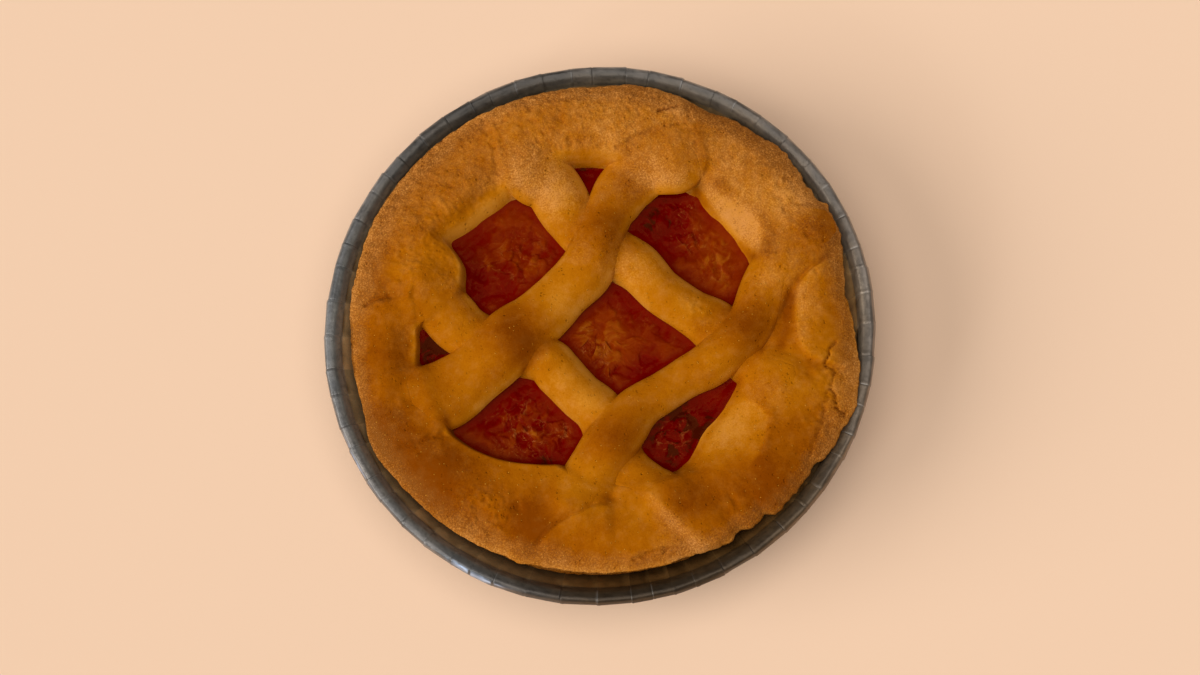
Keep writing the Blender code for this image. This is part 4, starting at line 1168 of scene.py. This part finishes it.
def brokenBits(x, y, size, seed):
    # angular bits: every point belongs to its nearest scattered seed, and each seed has a slanted flat top
    # of its own (level + slant . offset); also gives each bit's own share 0-1 and the distance to its edge
    table = np.random.default_rng(seed).random((61, 61, 6))
    column, row = np.floor(x / size).astype(int), np.floor(y / size).astype(int)
    nearest, second = np.full(x.shape, 9.0), np.full(x.shape, 9.0)
    level, share = np.zeros(x.shape), np.zeros(x.shape)
    for i, j in neighbours:
        own = table[(column + i) % 61, (row + j) % 61]
        alongSeed, upSeed, height, slantX, slantY, number = np.moveaxis(own, -1, 0)
        dx, dy = x / size - (column + i + alongSeed), y / size - (row + j + upSeed)
        d = np.hypot(dx, dy)
        closer = d < nearest
        second = np.where(closer, nearest, np.minimum(second, d))
        slanted = height - 0.5 + 1.6 * ((slantX - 0.5) * dx + (slantY - 0.5) * dy)
        level = np.where(closer, slanted, level)
        share = np.where(closer, number, share)
        nearest = np.minimum(nearest, d)
    return level, share, (second - nearest) * size


def makeJam(shape):
    # a closed cake of jam: smooth by the pastry; further out chunks of fruit (flat-topped patches), broken
    # angular bits and thin curls of skin (narrow ridges where a bent noise is zero); plain side and floor
    degrees = np.linspace(0, 360, shape["around"], endpoint=False)[:, None]
    r = shape["radius"] * np.linspace(0, 1, shape["across"])[None, :] ** shape["spacing"]
    a = np.radians(degrees)
    x, y = r * np.cos(a), r * np.sin(a)
    gap = clearance(x, y)
    calm = smoothStep(gap, *shape["calm"])
    bendX, bendY = (place + shape["bend"] * noise(x, y, 3.0, seed, 2) for place, seed in ((x, 103), (y, 109)))
    slow = noise(x, y, 5.5, 113, 3)
    size, share, chunkHeight = shape["chunks"]
    chunk = patches(bendX, bendY, size, 127, share, 0.5)
    size, share, scrapHeight = shape["scraps"]
    scrap = patches(bendX, bendY, size, 131, share, 0.35) * smoothStep(noise(x, y, 5.0, 137, 2), -0.2, 0.3)
    fruit = addLumps(x, y, shape["fruit"])
    plain, bySlow, byFruit, byChunk, byScrap = shape["toneParts"]
    tone = plain + bySlow * slow + byFruit * fruit + calm * (byChunk * chunk + byScrap * scrap)
    tone = tone + addSpots(x, y, shape["tones"])
    bitsAndGlints = strongestSpot(x, y, shape["bitsAndGlintSpots"]) * calm
    level, share, inward = brokenBits(1.25 * bendX - 0.5 * bendY, bendY + 0.3 * bendX, shape["bits"], 151)
    small, smallShare = brokenBits(bendX + 40, 1.3 * bendY, 0.5 * shape["bits"], 157)[:2]
    chosen = smoothStep(share, *shape["bitShares"])    # about half of the bits stand out
    (flatPart, flatBevel), (slantedPart, slantedBevel) = shape["flatPart"], shape["slantedPart"]
    plate = chosen * smoothStep(inward, 0.0, flatBevel)
    variety = plate - shape["plainLevel"] + shape["smallTone"] * (smallShare - 0.5)
    tone = tone + bitsAndGlints * shape["bitTone"] * variety
    # painted glints along the rims of the bits that stand out
    glintShare, inside, width = shape["bitGlint"]
    bitEdgeGlint = glintShare * bitsAndGlints * chosen * bell(inward - inside, width)
    skin = bell(noise(bendX, bendY, shape["skinSize"], 139, 2), shape["skinWidth"]) * bitsAndGlints
    z = shape["height"] + shape["rough"] * slow + shape["fruitHeight"] * fruit
    z = z + calm * (chunkHeight * chunk + scrapHeight * scrap + shape["skin"] * skin)
    broken = flatPart * plate + slantedPart * level * smoothStep(inward, 0.0, slantedBevel)
    z = z + bitsAndGlints * (shape["bitHeight"] * broken + shape["smallHeight"] * small)
    climb, *distances = shape["climb"]
    z = z + climb * (1 - smoothStep(gap, *distances)) - shape["sink"]    # it climbs where it meets pastry
    underRim = smoothStep(r, *shape["brimRadii"])
    z = z * (1 - underRim) + shape["brimHeight"] * underRim
    rings = [ring(radius, height, a) for radius, height in shape["side"]]
    hidden = len(rings)
    points = np.concatenate([np.stack([x, y, z], axis=-1)] + rings, axis=1)
    return gridPiece("jam", points, fruitMaterial, closeRows=True, attributes={
        "tone": widened(tone, [0.3] * hidden), "bitsAndGlints": widened(bitsAndGlints, [0] * hidden),
        "bitEdgeGlint": widened(bitEdgeGlint, [0] * hidden)})


jam = makeJam(jamShape)
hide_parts("apricot_jam")
print("tart: jam made")


caseShape = {
    # pleats round the case and how much their widths differ, then mm: outermost radius, radius and height
    # of the roll, depth of the wall's pleats, nicks between the roll's segments (their width as a share of
    # a pleat), laps of the foil beside them, heights of the broad and fine folds, and the foil's thickness
    "pleats": 58, "uneven": 0.30, "outer": 54.98, "roll": 1.64, "rollHeight": 19.75, "wallPleat": 0.42,
    "nick": 0.07, "nickWidth": 0.02, "lap": 0.045, "foldHeights": (0.050, 0.028), "thickness": 0.45,
    "perPleat": 22, "closer": 1.8,          # rows for each pleat, and the power that draws them to the nicks
    "straight": 0.75, "margin": 0.12,       # share of straightness between nicks, mm kept free outside
    "lapPlace": (0.075, 0.035),             # place and width of a lap, in shares of a pleat
    # how unevenly the segments lie, each times a random number of its own: thinner, further in, skewed in
    # plan, higher, leaning; and the most of those random numbers
    "loose": {"thin": (0.035, 1.5), "inwards": 0.07, "skew": (0.10, 1.2), "lift": (0.07, 1.5),
              "lean": (0.12, 1.2)},
    # wall: heights where pleats set in and where they end, the steep part of each pleat, dents (mm, size)
    "pleatHeights": (1.5, 12.0, 18.2, 19.3), "steep": 0.2, "dents": (0.16, 3.2),
    # brightness: lengthwise streaks in the roll's painted reflections, clouds, difference between pleats
    # (painted reflection), dark creases (painted shade); the part across the roll where the outermost edge's
    # painted highlight sets in; least brightness inside
    "streaks": 0.22, "cloudShare": 0.12, "pleatReflectionShare": 0.16, "creaseShadeShare": 0.30,
    "edgeGlintPart": (0.70, 0.87), "insideLeast": 0.15,
    # painted bluish gleams along the roll: (angle, spread, place across the roll, its spread, share)
    "paintedGleams": [(247.5, 2.6, 0.90, 0.07, 0.9), (241.5, 2.8, 0.86, 0.08, 0.9), (209.0, 6.0, 0.93, 0.04, 0.5)],
    "floorRadii": [0.0, 12.0, 24.0, 36.0], "floorHeight": 0.5, "footRadius": 40.3,
    "wall": [  # inside of the wall: (radius, height)
        (39.4, 0.5), (40.5, 1.2), (41.6, 3.0), (43.3, 6.0), (45.1, 9.0), (46.8, 12.0), (48.2, 14.5),
        (49.3, 16.4), (50.1, 17.6), (50.7, 18.3), (51.2, 18.75)],
    # section through the roll from its own middle: (outwards, up), from the wall's top round to its outside
    "section": [
        (-1.8, -0.75), (-1.68, -0.3), (-1.5, 0.15), (-1.26, 0.52), (-0.96, 0.84), (-0.62, 1.1),
        (-0.26, 1.28), (0.1, 1.4), (0.46, 1.46), (0.8, 1.42), (1.1, 1.26), (1.34, 1.0), (1.52, 0.66),
        (1.62, 0.26), (1.64, -0.16), (1.56, -0.58), (1.38, -0.96), (1.08, -1.28), (0.7, -1.5),
        (0.26, -1.6), (-0.2, -1.58), (-0.7, -1.45), (-1.15, -1.2)],
    # (angle, the foil's brightness as painted reflection and shade, how much butter stain and painted warm
    # reflection tint it, the brightness of its outermost edge as painted highlight)
    "butterAndReflections": [
        (0, 1.0, 0.5, 0.95), (30, 0.97, 0.5, 1.3), (60, 0.76, 0.48, 1.9), (90, 0.54, 0.36, 2.5),
        (105, 0.44, 0.42, 2.5), (120, 0.35, 0.38, 2.4), (135, 0.49, 0.3, 2.0), (150, 0.69, 0.2, 1.6),
        (180, 0.97, 0.04, 0.8), (195, 1.03, 0.17, 0.7), (210, 1.05, 0.3, 0.62), (225, 0.9, 0.25, 0.75),
        (240, 0.74, 0.1, 0.85), (255, 0.44, 0.45, 0.9), (270, 0.27, 1.0, 0.9), (285, 0.25, 1.2, 0.9),
        (300, 0.32, 1.1, 1.0), (315, 0.47, 0.95, 1.1), (330, 0.68, 0.8, 1.2), (345, 0.86, 0.65, 1.1)],
}


def makeCase(shape):
    # the roll is a rounded section carried round, straight between two nicks, with lengthwise folds (cosines
    # of the turn round the section, shifted by noise); the wall is a cone with saw-tooth pleats that fade
    pleats, perPleat = shape["pleats"], shape["perPleat"]
    rng = np.random.default_rng(401)

    def eachPleat(values):
        # one value for each pleat, given to all its rows
        return np.repeat(values, perPleat).reshape(-1, 1)

    widths = 1 + shape["uneven"] * (rng.random(pleats) * 2 - 1)
    starts = np.concatenate([[0], np.cumsum(widths)]) / widths.sum() * 360
    local = np.linspace(0, 1, perPleat, endpoint=False)
    closer = shape["closer"]
    local = np.where(local < 0.5, 0.5 * (2 * local) ** closer, 1 - 0.5 * (2 - 2 * local) ** closer)
    degrees = (starts[:-1, None] + np.diff(starts)[:, None] * local[None, :]).reshape(-1, 1)
    t = np.tile(local, pleats).reshape(-1, 1)    # share along the pleat
    span = eachPleat(np.diff(starts))
    offset, lift, lean, tilt = (eachPleat(rng.normal(0, 1, pleats)) for k in range(4))
    a = np.radians(degrees)
    alongX, alongY = np.cos(a), np.sin(a)

    def loosely(what, values):
        # a random number held within its limits, times its amount
        amount, most = shape["loose"][what]
        return amount * np.clip(values, -most, most)

    chord = np.cos(np.radians(span) / 2) / np.cos(np.radians(span * (t - 0.5)))    # straight between nicks
    sharp = rng.uniform(0.15, 1.2, pleats)
    nick = eachPleat(sharp) * bell(t, shape["nickWidth"])
    nick = nick + eachPleat(np.roll(sharp, -1)) * bell(1 - t, shape["nickWidth"])
    place, width = shape["lapPlace"]
    lap = shape["lap"] * bell(t - place, width)
    outwards, up = np.array(shape["section"]).T[:, None, :]
    turn = np.arctan2(up, outwards)
    broad, fine = shape["foldHeights"]
    folds = broad * np.cos(5.0 * turn + 2.2 * noise(40 * alongX, 40 * alongY, 9.0, 411, 2) + 1.0)
    folds = folds + fine * np.cos(9.0 * turn + 3.0 * noise(40 * alongX, 40 * alongY, 6.0, 417, 2))
    relief = (lap - shape["nick"] * nick + folds) / shape["roll"]
    grow = 1 - loosely("thin", np.abs(lean)) + relief
    centre = shape["outer"] - shape["roll"] - shape["margin"] - shape["loose"]["inwards"] * np.abs(offset)
    centre = centre + loosely("skew", tilt) * (t - 0.5)
    rollR = centre * (1 - shape["straight"] + shape["straight"] * chord) + outwards * grow
    rollZ = shape["rollHeight"] + loosely("lift", lift) + loosely("lean", lean) * (t - 0.5) + up * grow

    wallR, wallZ = np.array(shape["wall"]).T[:, None, :]
    wallZ = wallZ + 0 * a
    foot, full, end, top = shape["pleatHeights"]
    fade = smoothStep(wallZ, foot, full) * (1 - smoothStep(wallZ, end, top))
    steep = shape["steep"]
    tooth = np.where(t < 1 - steep, t / (1 - steep), (1 - t) / steep) - 0.5
    depth, size = shape["dents"]
    dents = depth * noise(wallR * alongX + 3, wallR * alongY, size, 431, 3)
    innerR = wallR + fade * (shape["wallPleat"] * tooth * (0.6 + 0.5 * np.abs(offset)) + dents)
    outerR, outerZ = (innerR + shape["thickness"])[:, ::-1], (wallZ - 0.35)[:, ::-1].copy()
    outerR[:, -1], outerZ[:, -1] = shape["footRadius"], 0.0
    floorR = np.array(shape["floorRadii"])[None, :]

    def columns(floor, inner, roll, outer, under):
        # one table from the values, or single numbers, of the case's five parts in order
        parts = ((floor, floorR), (inner, innerR), (roll, rollR), (outer, outerR), (under, floorR))
        table = [np.broadcast_to(value, (len(a), part.shape[1])) for value, part in parts]
        return np.concatenate(table, axis=1)

    r = columns(floorR, innerR, rollR, outerR, floorR[:, ::-1])
    z = columns(shape["floorHeight"], wallZ, rollZ, outerZ, 0)
    streak = noise(53.0 * a, 5.0 * outwards, 3.5, 421, 3, 0.6)     # drawn out lengthwise
    outward = np.clip((outwards + shape["streaks"] * streak + 1.8) / 3.4, 0, 1)    # 0 inside, 1 outside
    # painted highlights: bluish gleams along the roll
    paintedGleam = 0 * outward
    for bearing, wide, place, deep, share in shape["paintedGleams"]:
        paintedGleam = paintedGleam + share * bell(degrees - bearing, wide) * bell(outward - place, deep)
    paintedGleam = paintedGleam * smoothStep(np.abs(np.abs(t - 0.5) - 0.5), 0.03, 0.10)
    outward = columns(0, 0, outward, 1, 1)

    thin, shade = (eachPleat(rng.random(pleats)) for k in range(2))
    level, warm, edgeGlint = aroundTable(shape["butterAndReflections"], degrees, 4.0)
    uneven = shape["cloudShare"] * noise(r * alongX, r * alongY, 4.0, 433, 2)
    # painted reflection: the pleats of the wall differ in brightness
    uneven = uneven + shape["pleatReflectionShare"] * (shade - 0.5) * columns(1, 5, 1, 1, 1)    # more on the wall
    # painted shade: dark lengthwise creases on the roll
    foilCreaseShade = columns(0, 0, bell(noise(60.0 * a + 9, 5.0 * outwards, 4.0, 441, 2), 0.09), 0, 0)
    # painted highlight along the outermost edge
    edge = 1 + (edgeGlint - 1) * smoothStep(outward, *shape["edgeGlintPart"])
    level = level * (1 + uneven) * (1 - shape["creaseShadeShare"] * foilCreaseShade) * edge
    least = shape["insideLeast"]
    level = np.where(columns(1, 1, 0, 0, 1) > 0.5, least + (1 - least) * level, level)
    # painted highlights: light ticks at the crimps
    edges = thin ** 3 * bell(t - 0.025, 0.016) + 0.3 * bell(0.985 - t, 0.010) * (1 - thin)
    crimpGlints = (0.32 - 0.10 * bell(degrees % 360 - 20, 40.0)) * edges * smoothStep(np.sin(turn), 0.0, 0.5)
    points = np.stack([r * alongX, r * alongY, z], axis=-1)
    return gridPiece("foilCase", points, caseMaterial, closeRows=True, attributes={
        "inside": columns(1, 1 - smoothStep(wallZ, 18.6, 19.5), 0, 0.4, 0),
        "outward": outward, "level": level, "warm": np.clip(warm + 0.5 * uneven, 0, 1.3),
        "crimpGlint": columns(0, 0, np.clip(crimpGlints, 0, 1), 0, 0),
        "paintedGleam": columns(0, 0, np.clip(paintedGleam, 0, 1), 0, 0)})


case = makeCase(caseShape)
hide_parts("foil_case")
print("tart: foil case made,", len(case.data.polygons), "faces")


# Floor, lights and camera. Each light has its strength, the bearing it comes from, its height above the
# floor and its softness, the last three in degrees, and its colour.
setting = {
    "floorColour": (0.80, 0.545, 0.372, 1.0), "floorHalf": 3, "floorRoughness": 0.9, "floorSheen": 0.1,
    "worldColour": (1.0, 0.985, 0.96, 1.0), "worldStrength": 0.14,
    "lights": {"leftLight": (2.15, 194.0, 30.0, 40.0, (1.0, 1.0, 1.0)),
               "topLight": (1.96, 268.0, 80.0, 56.0, (1.0, 1.0, 1.0)),
               "window": (0.30, 225.0, 27.0, 9.0, (0.72, 0.87, 1.0))},
    # the camera looks at aim from the side that from gives, tilted off straight above; aim lies at aimPixel
    "aim": (0.0, 0.0, 0.0195), "cameraAway": 0.45, "from": (0.2366, -0.9716), "tilt": 13.82, "lens": 68.065,
    "sensor": 36, "frameSize": (1200, 675), "aimPixel": (598.28, 329.05), "near": 0.01,
}


def makeFloor(setting):
    # a flat square of the pale ground
    material, tree, shader = newMaterial("paleFloor")
    fillInputs(tree, shader, {"Base Color": setting["floorColour"], "Roughness": setting["floorRoughness"],
                              "Specular IOR Level": setting["floorSheen"]})
    half = setting["floorHalf"]
    mesh = bpy.data.meshes.new("floor")
    corners = [(-half, -half, 0), (half, -half, 0), (half, half, 0), (-half, half, 0)]
    mesh.from_pydata(corners, [], [(0, 1, 2, 3)])
    mesh.materials.append(material)
    floor = bpy.data.objects.new("floor", mesh)
    bpy.context.scene.collection.objects.link(floor)
    return floor


def makeLights(setting):
    # an even dim world, and suns that shine along the line from their bearing and height to the middle
    world = bpy.data.worlds.new("studio")
    world.use_nodes = True
    fillInputs(world.node_tree, world.node_tree.nodes["Background"], {
        "Color": setting["worldColour"], "Strength": setting["worldStrength"]})
    bpy.context.scene.world = world
    for name, (strength, bearing, up, softness, colour) in setting["lights"].items():
        light = bpy.data.lights.new(name, "SUN")
        light.energy = strength
        light.angle = math.radians(softness)
        light.color = colour
        bearing, up = math.radians(bearing), math.radians(up)
        reach = math.cos(up)
        towards = Vector((-math.cos(bearing) * reach, -math.sin(bearing) * reach, -math.sin(up)))
        holder = bpy.data.objects.new(name, light)
        holder.rotation_euler = towards.to_track_quat("-Z", "Y").to_euler()
        holder.location = -towards
        bpy.context.scene.collection.objects.link(holder)


def makeCamera(setting):
    # upright camera: its back points from the aim to it, its right is level, the shifts place the aim
    tilt = math.radians(setting["tilt"])
    fromX, fromY = setting["from"]
    back = np.array([fromX * math.sin(tilt), fromY * math.sin(tilt), math.cos(tilt)])
    back /= np.linalg.norm(back)
    right = np.cross((0, 1, 0), back)
    right /= np.linalg.norm(right)
    matrix = np.eye(4)
    matrix[:3, :3] = np.stack([right, np.cross(back, right), back], axis=1)
    matrix[:3, 3] = np.asarray(setting["aim"]) + back * setting["cameraAway"]
    camera = bpy.data.objects.new("camera", bpy.data.cameras.new("camera"))
    camera.matrix_world = Matrix([list(row) for row in matrix])
    camera.data.lens = setting["lens"]
    camera.data.sensor_width = setting["sensor"]
    camera.data.clip_start = setting["near"]
    wide, high = setting["frameSize"]
    pixelX, pixelY = setting["aimPixel"]
    camera.data.shift_x = (wide / 2 - pixelX) / wide
    camera.data.shift_y = (pixelY - high / 2) / wide
    bpy.context.scene.collection.objects.link(camera)
    return camera


floor = makeFloor(setting)
makeLights(setting)
bpy.context.scene.camera = makeCamera(setting)
bpy.context.scene.view_settings.view_transform = "Standard"
print("tart: floor, lights and camera set")
